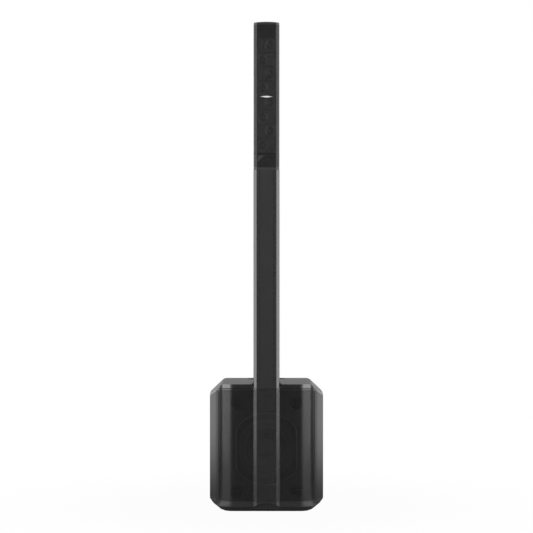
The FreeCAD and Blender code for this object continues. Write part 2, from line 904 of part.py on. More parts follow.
def make_array_baffle():
    pieces = []
    for side, z in driver_places():
        half = driver_pitch / 2
        plate = box(-seat_half_width, seat_half_width, -half, half, 0, seat_thickness)
        hole = Part.makeCylinder(driver_frame_r - 3.5, 20, Vector(driver_offset * side, 0, -5))
        pieces.append(at_seat(plate.cut(hole), side, z))
    top = driver_top_z + driver_pitch / 2
    low = top - driver_pitch * driver_count - baffle_tail
    y = front_y + seat_from_front
    wings = []
    for sign in (-1, 1):
        inner = seat_half_width - 8
        outer = array_half_width - column_wall - 1
        a, b = sorted((sign * inner, sign * outer))
        wings.append(box(a, b, split_y() - 4, split_y(), low, top))
    webs = []
    levels = [top - i * driver_pitch - web_t / 2 for i in range(1, driver_count + 1)]
    for z0 in [top - web_t] + levels + [low]:
        half = array_half_width - column_wall - 1
        web = box(-half, half, y - 10, split_y(), z0, z0 + web_t)
        inside = column_corners(array_half_width, array_sheet + 0.3, array_front_step)
        webs.append(web.common(prism(inside, z0, z0 + web_t)))
    body = fuse(pieces + wings + webs)
    for side, z in driver_places():
        clear = Part.makeCylinder(driver_frame_r + 0.3, 24, Vector(driver_offset * side, 0, -24))
        body = body.cut(at_seat(clear, side, z))
    return body


def make_driver_frames():
    frames = []
    deep = driver_depth
    r = driver_frame_r
    for side, z in driver_places():
        profile = [
            (r - 5, -3), (r, -3), (r, 0), (r - 4, 0), (r - 4, 6), (driver_magnet_r + 1, deep - 14),
            (8, deep - 14), (8, deep - 16), (driver_magnet_r - 1, deep - 16), (r - 6, 5), (r - 6, -1),
            (r - 5, -1),
        ]
        frames.append(at_driver(turned(profile), side, z))
    return Part.makeCompound(frames)


def make_driver_magnets():
    magnets = []
    for side, z in driver_places():
        can = Part.makeCylinder(driver_magnet_r, 14, Vector(0, 0, driver_depth - 14))
        can = can.cut(tube(7.2, 5.2, driver_depth - 15, driver_depth - 4))
        magnets.append(at_driver(can, side, z))
    return Part.makeCompound(magnets)


def make_driver_surrounds():
    rings = []
    for side, z in driver_places():
        ring = tube(driver_frame_r - 5.1, driver_cone_r + 0.3, -2.4, -1.0)
        rings.append(at_driver(ring, side, z))
    return Part.makeCompound(rings)


def make_driver_cones(wanted):
    cones = []
    for side, z in driver_places():
        if side != wanted:
            continue
        r = driver_cone_r
        profile = [
            (0, -0.5), (5, 0.3), (8, 3), (r, -2.2), (r, -1.4),
            (6.8, 5.4), (6.8, 20), (5.8, 20), (5.8, 4), (0, 0.5),
        ]
        cones.append(at_driver(turned(profile), side, z))
    return Part.makeCompound(cones)


def make_array_bracket():
    top = driver_top_z - driver_pitch * (driver_count - 0.5) - baffle_tail
    x0 = -34.0
    points = [(x0, top), (x0 + bracket_size, top), (x0, top - bracket_size)]
    y = front_y + seat_from_front
    return xz_prism(points, y + 2, y + 5)


def make_badge_strip():
    tip = badge_width / 2
    flat = badge_flat_width / 2
    rise = badge_height / 2
    points = [(-tip, 0), (-flat, -rise), (flat, -rise), (tip, 0), (flat, rise), (-flat, rise)]
    strip = xz_prism(points, front_y, front_y + array_front_step)
    strip.translate(Vector(0, 0, badge_z))
    return strip


# --------------------------------------------------------- base: the rear panel
knob_places = [(-70.0, 368.0), (0.0, 368.0), (70.0, 368.0)]
encoder_place = (62.0, 415.0)
button_places = [(-58.0, 415.0), (-82.0, 415.0)]
combo_places = [(-70.0, 320.0), (0.0, 320.0)]
jack_places = [(58.0, 320.0), (88.0, 320.0)]
inlet_place = (-70.0, 143.0)
rocker_place = (60.0, 143.0)
display_place = (0.0, 413.0)
display_size = (60.0, 30.0)
inlet_size = (27.5, 20.0)
rocker_size = (21.0, 15.0)
rocker_tilt = 8.0
rocker_axle_r = 1.2
rocker_pivot_depth = 4.0


def panel_screw_places():
    edge = 5.0
    xs = (-panel_half_width + edge, -45.0, 45.0, panel_half_width - edge)
    ends = [(x, z) for x in xs for z in (panel_bottom + edge, panel_top - edge)]
    sides = [(x, z) for x in (xs[0], xs[-1]) for z in (230.0, 340.0)]
    return ends + sides


def make_amp_panel():
    body = box(-panel_half_width, panel_half_width, panel_in_y, panel_out_y, panel_bottom, panel_top)
    y0 = panel_in_y - 1
    y1 = panel_out_y + 1
    holes = []
    for x, z in knob_places + [encoder_place]:
        holes.append(rod_y(shaft_r + 1.0, x, z, y0, y1))
    for x, z in button_places:
        holes.append(rod_y(button_r + button_gap, x, z, y0, y1))
    for x, z in combo_places:
        holes.append(rod_y(combo_body_r + 0.2, x, z, y0, y1))
    for x, z in jack_places:
        holes.append(rod_y(jack_r + 1.75, x, z, y0, y1))
    windows = [(inlet_place, inlet_size), (rocker_place, rocker_size), (display_place, display_size)]
    for place, size in windows:
        x, z = place
        w, h = size
        holes.append(box(x - w / 2 - 0.2, x + w / 2 + 0.2, y0, y1, z - h / 2 - 0.2, z + h / 2 + 0.2))
    holes.append(box(-sink_half_width, sink_half_width, y0, y1, sink_bottom, sink_top))
    for x, z in panel_screw_places():
        holes.append(rod_y(1.7, x, z, y0, y1))
    return body.cut(Part.makeCompound(holes))


def make_panel_screws():
    screws = []
    for x, z in panel_screw_places():
        head = rod_y(3.0, x, z, panel_out_y, panel_out_y + 1.8)
        shank = rod_y(1.6, x, z, panel_in_y, panel_out_y)
        drive = prism(hexagon(1.3), 0, 2)
        drive = to_rear(drive, x, panel_out_y + 0.8, z)
        screws.append(head.fuse(shank).cut(drive))
    return Part.makeCompound(screws)


def make_heat_sink():
    y0 = panel_in_y - sink_base_t
    base = box(-sink_half_width - 6, sink_half_width + 6, y0, panel_in_y, sink_bottom - 6, sink_top + 6)
    fins = []
    span = 2 * sink_half_width - 12
    for i in range(fin_count):
        x = -span / 2 + span * i / (fin_count - 1)
        x0, x1 = x - fin_t / 2, x + fin_t / 2
        fins.append(box(x0, x1, panel_in_y - 1, panel_in_y + fin_height, sink_bottom + 3, sink_top - 3))
    return fuse([base] + fins)


def make_amp_board():
    y1 = panel_in_y - sink_base_t - 12
    board = box(-105, 105, y1 - board_t, y1, 156, 270)
    parts = [board]
    for x in (-60.0, -20.0, 20.0, 60.0):
        parts.append(box(x - 8, x + 8, y1, y1 + 12, 200, 222))
    for x in (-80.0, -45.0, 45.0):
        parts.append(rod_y(11, x, 174, y1 - board_t - 30, y1 - board_t))
    parts.append(box(70, 94, y1 - board_t - 14, y1 - board_t, 246, 266))
    return fuse(parts)


def make_mixer_board():
    board = box(-112, 112, board_y - board_t, board_y, 292, 432)
    chips = []
    for x, z in ((-40.0, 395.0), (35.0, 345.0), (-35.0, 345.0)):
        chips.append(box(x - 8, x + 8, board_y, board_y + 2, z - 8, z + 8))
    x, z = display_place
    w, h = display_size
    stand = box(x - w / 2, x + w / 2, board_y, panel_in_y - 2, z - h / 2, z + h / 2)
    return fuse([board, stand] + chips)


def make_power_supply():
    y1 = panel_in_y - sink_base_t - 12
    low = foot_lift + foot_cap_wall
    tray = box(-100, 100, 20, 130, low, low + 4)
    core = box(-80, -30, 40, 100, low + 4, low + 50)
    caps = [Part.makeCylinder(15, 45, Vector(x, 70, low + 4)) for x in (0.0, 34.0, 68.0)]
    return fuse([tray, core] + caps)


def make_speaker_leads():
    y0 = recess_floor_y + 49
    y1 = panel_in_y - sink_base_t - 12 - board_t - 14
    leads = [rod_y(1.5, 78.0, woofer_z + dz, y0, y1) for dz in (-4.0, 4.0)]
    return Part.makeCompound(leads)


def make_mains_inlet():
    x, z = inlet_place
    w, h = inlet_size
    y1 = panel_out_y + 2
    flange = box(x - w / 2 - 8, x + w / 2 + 8, panel_out_y, y1, z - h / 2 - 1.5, z + h / 2 + 1.5)
    body = box(x - w / 2, x + w / 2, panel_out_y - 20, panel_out_y + 1, z - h / 2, z + h / 2)
    cavity = box(x - w / 2 + 1.8, x + w / 2 - 1.8, y1 - 18, y1 + 1, z - h / 2 + 1.8, z + h / 2 - 1.8)
    shell = fuse([flange, body]).cut(cavity)
    pins = []
    for dx, dz in ((-7.0, -2.0), (0.0, 2.5), (7.0, -2.0)):
        pins.append(box(x + dx - 1, x + dx + 1, y1 - 19, y1 - 6, z + dz - 2, z + dz + 2))
    return fuse([shell] + pins)


def make_rocker_frame():
    x, z = rocker_place
    w, h = rocker_size
    body = box(x - w / 2, x + w / 2, panel_out_y - 16, panel_out_y, z - h / 2, z + h / 2)
    rim = box(x - w / 2 - 2, x + w / 2 + 2, panel_out_y, panel_out_y + 2, z - h / 2 - 2, z + h / 2 + 2)
    half_w, half_h = w / 2 - 1.5, h / 2 - 1.5
    well = box(x - half_w, x + half_w, panel_out_y - 12, panel_out_y + 3, z - half_h, z + half_h)
    pivot_y = panel_out_y - rocker_pivot_depth
    seat_r = rocker_axle_r + shaft_clearance
    bearing = Part.makeCylinder(seat_r, h - 0.6, Vector(x, pivot_y, z - h / 2 + 0.3))
    return fuse([body, rim]).cut(well).cut(bearing)


def make_power_rocker():
    x, z = rocker_place
    w, h = rocker_size
    half = w / 2 - 2.6
    pivot_y = panel_out_y - rocker_pivot_depth
    right = [(half, 4.5), (half - 1.5, -2.0), (3, -6.0)]
    left = [(-u, v) for u, v in reversed(right)]
    points = [(0, 3.4)] + right + left
    wire = Part.makePolygon([Vector(x + u, pivot_y + v, z - h / 2 + 2) for u, v in points + points[:1]])
    cap = Part.Face(wire).extrude(Vector(0, 0, h - 4))
    axle = Part.makeCylinder(rocker_axle_r, h - 1.2, Vector(x, pivot_y, z - h / 2 + 0.6))
    rocker = fuse([cap, axle])
    rocker.rotate(Vector(x, pivot_y, z), AXIS_Z, -rocker_tilt)
    return rocker


def make_display_window():
    x, z = display_place
    w, h = display_size
    return box(x - w / 2, x + w / 2, panel_in_y - 2, panel_out_y - 0.5, z - h / 2, z + h / 2)


def make_combo_jacks():
    jacks = []
    for x, z in combo_places:
        y1 = panel_out_y + 2.5
        flange = box(x - 13, x + 13, panel_out_y, y1, z - 15.5, z + 15.5)
        body = rod_y(combo_body_r, x, z, board_y, panel_out_y + 1)
        jack = fuse([flange, body])
        jack = jack.cut(rod_y(combo_r, x, z, y1 - combo_depth, y1 + 1))
        jack = jack.cut(rod_y(jack_r, x, z, board_y + 2, y1))
        for i in range(3):
            angle = math.radians(210 + 60 * i)
            px = x + 6.3 * math.cos(angle)
            pz = z + 6.3 * math.sin(angle)
            jack = jack.cut(rod_y(1.3, px, pz, y1 - combo_depth - 4, y1))
        jack = jack.cut(box(x - 3.4, x + 3.4, panel_out_y + 0.5, y1 + 1, z + 10.9, z + 14.7))
        jacks.append(jack)
    return Part.makeCompound(jacks)


def make_combo_latch(place):
    x, z = place
    return box(x - 3, x + 3, panel_out_y + 0.5 + latch_travel + 0.1, panel_out_y + 4, z + 11.3, z + 14.3)


def make_line_jacks():
    jacks = []
    for x, z in jack_places:
        y1 = panel_out_y + 3
        nose = rod_y(jack_r + 1.6, x, z, panel_in_y - 4, y1)
        nut = to_rear(prism(hexagon(7.0), 0, 2.0), x, panel_out_y, z)
        body = box(x - 8, x + 8, board_y, panel_in_y - 0.2, z - 8, z + 8)
        jack = fuse([nose, nut, body])
        jacks.append(jack.cut(rod_y(jack_r, x, z, y1 - jack_depth + 5, y1 + 1)))
    return Part.makeCompound(jacks)


def make_pot_bodies():
    pots = []
    for x, z in knob_places + [encoder_place]:
        body = box(x - 7, x + 7, board_y, panel_in_y - 3, z - 7, z + 7)
        pots.append(body.cut(rod_y(shaft_r + shaft_clearance, x, z, board_y + 4, panel_in_y)))
    return Part.makeCompound(pots)


def knob(r, height):
    """A knob along +Z with a ribbed skirt, a pointer slot and a rounded top edge."""
    body = Part.makeCylinder(r, height)
    top = [e for e in body.Edges if e.BoundBox.ZMin > height - 0.01]
    body = body.makeFillet(1.2, top)
    for i in range(18):
        angle = math.radians(20 * i)
        place = Vector((r + 0.25) * math.cos(angle), (r + 0.25) * math.sin(angle), -1)
        groove = Part.makeCylinder(0.6, height - 5, place)
        body = body.cut(groove)
    pointer = box(-0.6, 0.6, -r - 1, -r * 0.35, height - 0.7, height + 1)
    return body.cut(pointer)


def make_channel_knob(place):
    x, z = place
    shaft_end = board_y + 5
    cap_y = panel_out_y + 0.6
    body = to_rear(knob(knob_r, knob_height), x, cap_y, z)
    return fuse([body, rod_y(shaft_r, x, z, shaft_end, cap_y + 1)])


def make_encoder_shaft():
    x, z = encoder_place
    return rod_y(shaft_r, x, z, board_y + 4 + encoder_push + 0.2, panel_out_y + 9)


def make_encoder_knob():
    x, z = encoder_place
    cap_y = panel_out_y + 0.6 + encoder_push
    body = to_rear(knob(encoder_r, knob_height + 1), x, cap_y, z)
    return body.cut(rod_y(shaft_r + shaft_clearance, x, z, cap_y - 1, panel_out_y + 9 + 0.2))


def make_menu_button(place):
    x, z = place
    cap = rod_y(button_r, x, z, panel_in_y - 1.5, panel_out_y + button_rise)
    flange = rod_y(button_r + 1.2, x, z, panel_in_y - 1.5, panel_in_y - 0.3)
    stem = rod_y(1.5, x, z, board_y + button_travel + 0.3, panel_in_y - 1)
    return fuse([cap, flange, stem])


# ------------------------------------------------------------ base: the handle
def make_carry_handle():
    middle = (handle_front + handle_back) / 2
    top = base_height - grip_drop
    y0 = middle - grip_depth / 2
    corners = [
        (y0, top - grip_height, 8),
        (y0 + grip_depth, top - grip_height, 8),
        (y0 + grip_depth, top, 8),
        (y0, top, 8),
    ]
    wire = rounded_wire(corners)
    bar = Part.Face(wire).extrude(Vector(0, 0, 2 * handle_half_width))
    bar.rotate(Vector(0, 0, 0), Vector(1, 1, 1), 120)
    bar.translate(Vector(-handle_half_width, 0, 0))
    return bar


# ------------------------------------------------------------------ everything
def make_parts():
    parts = {
        "cabinet_shell": make_cabinet_shell(),
        "top_cap": make_top_cap(),
        "bottom_cap": make_bottom_cap(),
        "front_grille": make_front_grille(),
        "baffle_board": make_baffle_board(),
        "port_tubes": make_port_tubes(),
        "rubber_feet": make_rubber_feet(),
        "carry_handle": make_carry_handle(),
        "woofer_basket": make_woofer_basket(),
        "woofer_screws": make_woofer_screws(),
        "woofer_surround": make_woofer_surround(),
        "woofer_cone": make_woofer_cone(),
        "woofer_dust_cap": make_woofer_dust_cap(),
        "woofer_spider": make_woofer_spider(),
        "woofer_top_plate": make_woofer_top_plate(),
        "woofer_magnet": make_woofer_magnet(),
        "woofer_yoke": make_woofer_yoke(),
        "column_socket": make_column_socket(),
        "socket_contacts": make_socket_contacts(),
        "spacer_extrusion": make_spacer_extrusion(),
        "spacer_front_panel": make_spacer_front_panel(),
        "spacer_plug": make_spacer_plug(),
        "spacer_socket": make_spacer_socket(),
        "spacer_cable": make_spacer_cable(),
        "array_plug": make_array_plug(),
        "array_top_cap": make_array_top_cap(),
        "array_grille": make_array_grille(),
        "array_housing": make_array_housing(),
        "array_baffle": make_array_baffle(),
        "array_driver_frames": make_driver_frames(),
        "array_driver_magnets": make_driver_magnets(),
        "array_driver_surrounds": make_driver_surrounds(),
        "array_cones_right": make_driver_cones(1),
        "array_cones_left": make_driver_cones(-1),
        "array_bracket": make_array_bracket(),
        "badge_strip": make_badge_strip(),
        "amp_panel": make_amp_panel(),
        "panel_screws": make_panel_screws(),
        "heat_sink": make_heat_sink(),
        "amp_board": make_amp_board(),
        "mixer_board": make_mixer_board(),
        "power_supply": make_power_supply(),
        "speaker_leads": make_speaker_leads(),
        "mains_inlet": make_mains_inlet(),
        "rocker_frame": make_rocker_frame(),
        "power_rocker": make_power_rocker(),
        "display_window": make_display_window(),
        "combo_jacks": make_combo_jacks(),
        "line_jacks": make_line_jacks(),
        "pot_bodies": make_pot_bodies(),
        "encoder_shaft": make_encoder_shaft(),
        "encoder_knob": make_encoder_knob(),
    }
    for number, place in enumerate(combo_places, 1):
        parts["combo_latch_" + str(number)] = make_combo_latch(place)
    for number, place in enumerate(knob_places, 1):
        parts["channel_knob_" + str(number)] = make_channel_knob(place)
    for number, place in enumerate(button_places, 1):
        parts["menu_button_" + str(number)] = make_menu_button(place)
    return parts


os.makedirs("parts", exist_ok=True)
for node, shape in make_parts().items():
    valid = "ok" if shape.isValid() else "NOT VALID"
    print(node, len(shape.Solids), round(shape.Volume), valid)
    save(node, shape)
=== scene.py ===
"""The looks of a powered column loudspeaker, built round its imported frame.

The frame gives every piece of the construction at its real size, in metres, with +Z up and the
front facing -Y.  This file gives each of them its finish, and stands finer pieces in for the plain
ones: perforated grilles, softened mouldings, dial marks and a lit display.
"""
import json
import logging
import math
from dataclasses import dataclass, field, replace
from enum import Enum
from typing import Callable, Sequence

import bmesh
import bpy
from mathutils.kdtree import KDTree
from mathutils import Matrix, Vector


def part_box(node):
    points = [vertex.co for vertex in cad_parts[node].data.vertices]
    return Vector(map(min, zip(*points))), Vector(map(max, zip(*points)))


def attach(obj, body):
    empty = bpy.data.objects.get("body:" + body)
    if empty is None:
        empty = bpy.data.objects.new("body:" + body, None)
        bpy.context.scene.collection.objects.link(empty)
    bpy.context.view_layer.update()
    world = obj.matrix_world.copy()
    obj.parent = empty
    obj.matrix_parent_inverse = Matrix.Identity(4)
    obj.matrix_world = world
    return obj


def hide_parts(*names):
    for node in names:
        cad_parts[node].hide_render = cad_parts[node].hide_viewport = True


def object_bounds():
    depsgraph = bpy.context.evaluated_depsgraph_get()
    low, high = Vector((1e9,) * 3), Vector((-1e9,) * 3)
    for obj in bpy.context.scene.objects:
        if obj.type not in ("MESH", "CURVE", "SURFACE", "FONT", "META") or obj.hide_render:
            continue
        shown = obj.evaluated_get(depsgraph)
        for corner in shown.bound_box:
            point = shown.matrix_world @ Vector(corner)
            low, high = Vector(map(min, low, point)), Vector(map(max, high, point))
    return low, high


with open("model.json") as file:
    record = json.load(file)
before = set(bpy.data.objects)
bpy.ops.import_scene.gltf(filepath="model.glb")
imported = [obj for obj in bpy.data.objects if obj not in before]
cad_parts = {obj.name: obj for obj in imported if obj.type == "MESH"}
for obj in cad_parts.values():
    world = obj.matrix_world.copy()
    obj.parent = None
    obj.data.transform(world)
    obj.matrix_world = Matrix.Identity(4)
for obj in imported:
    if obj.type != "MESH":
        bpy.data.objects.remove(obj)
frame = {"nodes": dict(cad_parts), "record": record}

Point = tuple[float, float, float]
Plan = tuple[float, float]
Span = tuple[float, float]
Colour = tuple[float, float, float]
Softened = tuple[str, str, str, float]
Socket = bpy.types.NodeSocket

log = logging.getLogger("column_speaker")
CAD_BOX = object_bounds()
FRONT_Y = CAD_BOX[0][1]
WHITE = (1.0, 1.0, 1.0, 1.0)


# ------------------------------------------------------------------------------ node trees
@dataclass
class NodeBoard:
    """A thin hand on a node tree, so that a material or a modifier reads as a list of steps."""

    tree: bpy.types.NodeTree

    @classmethod
    def geometry(cls, name: str, kinds: dict[str, str]) -> "NodeBoard":
        """Starts a geometry tree.

        Args:
            name: The tree's name.
            kinds: The kind of each of its inputs, by name.

        Returns:
            A board on the new tree.
        """
        tree = bpy.data.node_groups.new(name, "GeometryNodeTree")
        for label, kind in kinds.items():
            tree.interface.new_socket(label, in_out="INPUT", socket_type="NodeSocket" + kind)
        tree.interface.new_socket("Geometry", in_out="OUTPUT", socket_type="NodeSocketGeometry")
        return cls(tree)

    def add(self, kind: str, **settings: object) -> bpy.types.Node:
        """Adds a node.

        Args:
            kind: The node's type name.
            settings: Values for the node's own properties.

        Returns:
            The new node.
        """
        node = self.tree.nodes.new(kind)
        for name, value in settings.items():
            setattr(node, name, value)
        return node

    def link(self, source: Socket, target: Socket) -> None:
        """Joins an output to an input."""
        self.tree.links.new(source, target)

    def feed(self, socket: Socket, value: object) -> None:
        """Puts something into an input.

        Args:
            socket: The input.
            value: A number, a vector, or the output to join it to.
        """
        if isinstance(value, Socket):
            self.link(value, socket)
        else:
            socket.default_value = value

    def fill(self, node: bpy.types.Node, values: dict[str, object]) -> bpy.types.Node:
        """Fills a node's inputs.

        Args:
            node: The node.
            values: What each input takes, by the input's name.

        Returns:
            The same node.
        """
        for name, value in values.items():
            self.feed(node.inputs[name], value)
        return node

    def math(self, operation: str, *values: object) -> Socket:
        """Adds a maths node.

        Args:
            operation: The node's operation, such as ADD.
            values: Numbers or sockets for its inputs.

        Returns:
            The result's socket.
        """
        node = self.add("ShaderNodeMath", operation=operation)
        for socket, value in zip(node.inputs, values):
            self.feed(socket, value)
        return node.outputs[0]

    def vector(self, x: object, y: object, z: object) -> Socket:
        """Joins three numbers or sockets into a vector."""
        return self.fill(self.add("ShaderNodeCombineXYZ"), {"X": x, "Y": y, "Z": z}).outputs[0]

    def split(self, source: Socket) -> Sequence[Socket]:
        """Splits a vector into its three numbers."""
        return self.fill(self.add("ShaderNodeSeparateXYZ"), {"Vector": source}).outputs

    def rise(self, value: Socket, span: Span, top: float = 1.0) -> Socket:
        """Rises smoothly from 0 as a value crosses a span.

        Args:
            value: The value's socket.
            span: Where the rise starts and where it ends.
            top: What it rises to.

        Returns:
            The result's socket.
        """
        node = self.add("ShaderNodeMapRange", interpolation_type="SMOOTHSTEP")
        self.fill(node, {"Value": value, "From Min": span[0], "From Max": span[1], "To Max": top})
        return node.outputs["Result"]

    def remap(self, value: Socket, low: float, high: float) -> Socket:
        """Maps a value from 0..1 to low..high."""
        node = self.add("ShaderNodeMapRange")
        return self.fill(node, {"Value": value, "To Min": low, "To Max": high}).outputs["Result"]

    def texture(
        self, kind: str, place: Socket, values: dict[str, float], **settings: object,
    ) -> bpy.types.Node:
        """Adds a texture.

        Args:
            kind: The node's type name.
            place: Where the texture is read.
            values: Numbers for its inputs, by name.
            settings: Values for the node's own properties.

        Returns:
            The texture's node.
        """
        return self.fill(self.add(kind, **settings), {"Vector": place, **values})

    def blend(self, share: Socket, first: bpy.types.Node, second: bpy.types.Node) -> Socket:
        """Blends two shaders.

        Args:
            share: How much of the second one shows.
            first: The first shader's node.
            second: The second shader's node.

        Returns:
            The blend's socket.
        """
        mix = self.add("ShaderNodeMixShader")
        for socket, value in zip(mix.inputs, (share, first.outputs[0], second.outputs[0])):
            self.link(value, socket)
        return mix.outputs[0]

    def shape_of(self, source: Socket) -> Socket:
        """Reads the geometry of an object that the tree is given."""
        return self.fill(self.add("GeometryNodeObjectInfo"), {"Object": source}).outputs["Geometry"]

    def move(self, geometry: Socket, place: Socket) -> Socket:
        """Moves every point of a geometry to a place."""
        node = self.add("GeometryNodeSetPosition")
        return self.fill(node, {"Geometry": geometry, "Position": place}).outputs["Geometry"]

    def realize(self, geometry: Socket) -> Socket:
        """Makes a geometry's copies real."""
        node = self.add("GeometryNodeRealizeInstances")
        return self.fill(node, {"Geometry": geometry}).outputs["Geometry"]

    def finish(self, geometry: Socket, finish: Socket) -> None:
        """Ends a geometry tree: makes its copies real and gives them their finish.

        Args:
            geometry: What the tree has made.
            finish: The material's socket.
        """
        dress = self.add("GeometryNodeSetMaterial")
        self.fill(dress, {"Geometry": self.realize(geometry), "Material": finish})
        self.link(dress.outputs["Geometry"], self.add("NodeGroupOutput").inputs[0])


# ------------------------------------------------------------------------------ finishes
class Grain(Enum):
    """How the small relief of a finish is laid."""

    EVEN = (1.0, 1.0, 1.0)
    UPRIGHT = (1.0, 1.0, 0.02)
    ACROSS = (0.02, 1.0, 1.0)


@dataclass(frozen=True)
class Finish:
    """A surface with a colour, a sheen, a fine relief and a slow drift in both."""

    name: str
    colour: Colour
    roughness: float = 0.45
    metallic: float = 0.0
    specular: float = 0.5
    grain_size: float = 0.0008
    grain_height: float = 0.00004
    grain_detail: float = 3.0
    grain_roughness: float = 0.6
    grain_lay: Grain = Grain.EVEN
    drift: float = 0.12
    drift_size: float = 0.09
    drift_detail: float = 4.0
    roughness_drift: float = 0.35
    sheen: float = 0.0
    emission: Colour | None = None

    def build(self) -> bpy.types.Material:
        """Makes the material.

        Returns:
            A new node material on object coordinates.
        """
        material = bpy.data.materials.new(self.name)
        material.use_nodes = True
        board = NodeBoard(material.node_tree)
        shader = material.node_tree.nodes["Principled BSDF"]
        self.set_constants(board, shader)
        place = board.add("ShaderNodeTexCoord").outputs["Object"]
        self.colour_nodes(board, shader, place)
        self.relief_nodes(board, shader, place)
        material.diffuse_color = (*self.colour, 1.0)
        return material

    def set_constants(self, board: NodeBoard, shader: bpy.types.Node) -> None:
        """Sets what is the same all over on the shader's own sockets.

        Args:
            board: The material's tree.
            shader: Its shader.
        """
        board.fill(shader, {
            "Metallic": self.metallic, "Specular IOR Level": self.specular, "Sheen Weight": self.sheen,
        })
        if self.emission is not None:
            board.fill(shader, {"Emission Color": (*self.emission, 1.0), "Emission Strength": 1.0})

    def colour_nodes(self, board: NodeBoard, shader: bpy.types.Node, place: Socket) -> None:
        """Lets the colour and the roughness drift slowly over the surface.

        Args:
            board: The material's tree.
            shader: Its shader.
            place: The place on the surface.
        """
        values = {"Scale": 1.0 / self.drift_size, "Detail": self.drift_detail}
        cloud = board.texture("ShaderNodeTexNoise", place, values).outputs["Fac"]
        tint = board.add("ShaderNodeMix", data_type="RGBA")
        for socket, share in zip(tint.inputs[6:8], (1.0 - self.drift, 1.0 + self.drift)):
            socket.default_value = (*(shade * share for shade in self.colour), 1.0)
        board.link(cloud, tint.inputs["Factor"])
        board.fill(shader, {"Base Color": tint.outputs[2], "Roughness": self.sheen_drift(board, cloud)})

    def sheen_drift(self, board: NodeBoard, cloud: Socket) -> Socket:
        """Gives the roughness, which drifts with the cloud."""
        spread = self.drift * self.roughness_drift
        return board.remap(cloud, self.roughness * (1.0 - spread), self.roughness * (1.0 + spread))

    def relief_nodes(self, board: NodeBoard, shader: bpy.types.Node, place: Socket) -> None:
        """Gives the surface its fine grain.

        Args:
            board: The material's tree.
            shader: Its shader.
            place: The place on the surface.
        """
        lay = board.fill(board.add("ShaderNodeMapping"), {"Vector": place, "Scale": self.grain_lay.value})
        values = {
            "Scale": 1.0 / self.grain_size, "Detail": self.grain_detail, "Roughness": self.grain_roughness,
        }
        grain = board.texture("ShaderNodeTexNoise", lay.outputs["Vector"], values).outputs["Fac"]
        self.raise_relief(board, shader, grain, 1.0)

    def raise_relief(
        self, board: NodeBoard, shader: bpy.types.Node, height: Socket, strength: object,
    ) -> None:
        """Raises the relief on the surface.

        Args:
            board: The material's tree.
            shader: Its shader.
            height: The relief, in grain heights.
            strength: How much of it shows, as a number or a socket.
        """
        bump = board.add("ShaderNodeBump")
        board.fill(bump, {"Distance": self.grain_height, "Strength": strength, "Height": height})
        board.link(bump.outputs["Normal"], shader.inputs["Normal"])


@dataclass(frozen=True)
class LeatheredPlastic(Finish):
    """Moulded plastic with the pebbled texture of an eroded mould, which may leave its sides smoother."""

    pebble: float = 0.0011
    pebble_smoothness: float = 0.6
    grain_share: float = 0.5
    upright: float = 1.0
    facing: Span = (0.5, 0.9)

    def facing_up(self, board: NodeBoard) -> Socket:
        """Gives 1 on faces that look up or down, and 0 on upright ones."""
        normal = board.split(board.add("ShaderNodeTexCoord").outputs["Normal"])
        return board.rise(board.math("ABSOLUTE", normal[2]), self.facing)

    def sheen_drift(self, board: NodeBoard, cloud: Socket) -> Socket:
        """Gives the roughness, less on the upright faces."""
        share = board.remap(self.facing_up(board), self.upright, 1.0)
        return board.math("MULTIPLY", super().sheen_drift(board, cloud), share)

    def relief_nodes(self, board: NodeBoard, shader: bpy.types.Node, place: Socket) -> None:
        """Adds rounded pebbles under the fine grain.

        Args:
            board: The material's tree.
            shader: Its shader.
            place: The place on the surface.
        """
        values = {"Scale": 1.0 / self.pebble, "Smoothness": self.pebble_smoothness}
        cells = board.texture("ShaderNodeTexVoronoi", place, values, feature="SMOOTH_F1").outputs["Distance"]
        grain = board.texture("ShaderNodeTexNoise", place, {"Scale": 1.0 / self.grain_size}).outputs["Fac"]
        height = board.math("ADD", cells, board.math("MULTIPLY", grain, self.grain_share))
        self.raise_relief(board, shader, height, board.remap(self.facing_up(board), self.upright ** 2, 1.0))


@dataclass(frozen=True)
class TintedGlass(Finish):
    """A dark, glossy lens over a display."""

    transmission: float = 0.3
    bending: float = 1.49

    def set_constants(self, board: NodeBoard, shader: bpy.types.Node) -> None:
        """Adds see-through glass to the shader."""
        super().set_constants(board, shader)
        board.fill(shader, {"Transmission Weight": self.transmission, "IOR": self.bending})


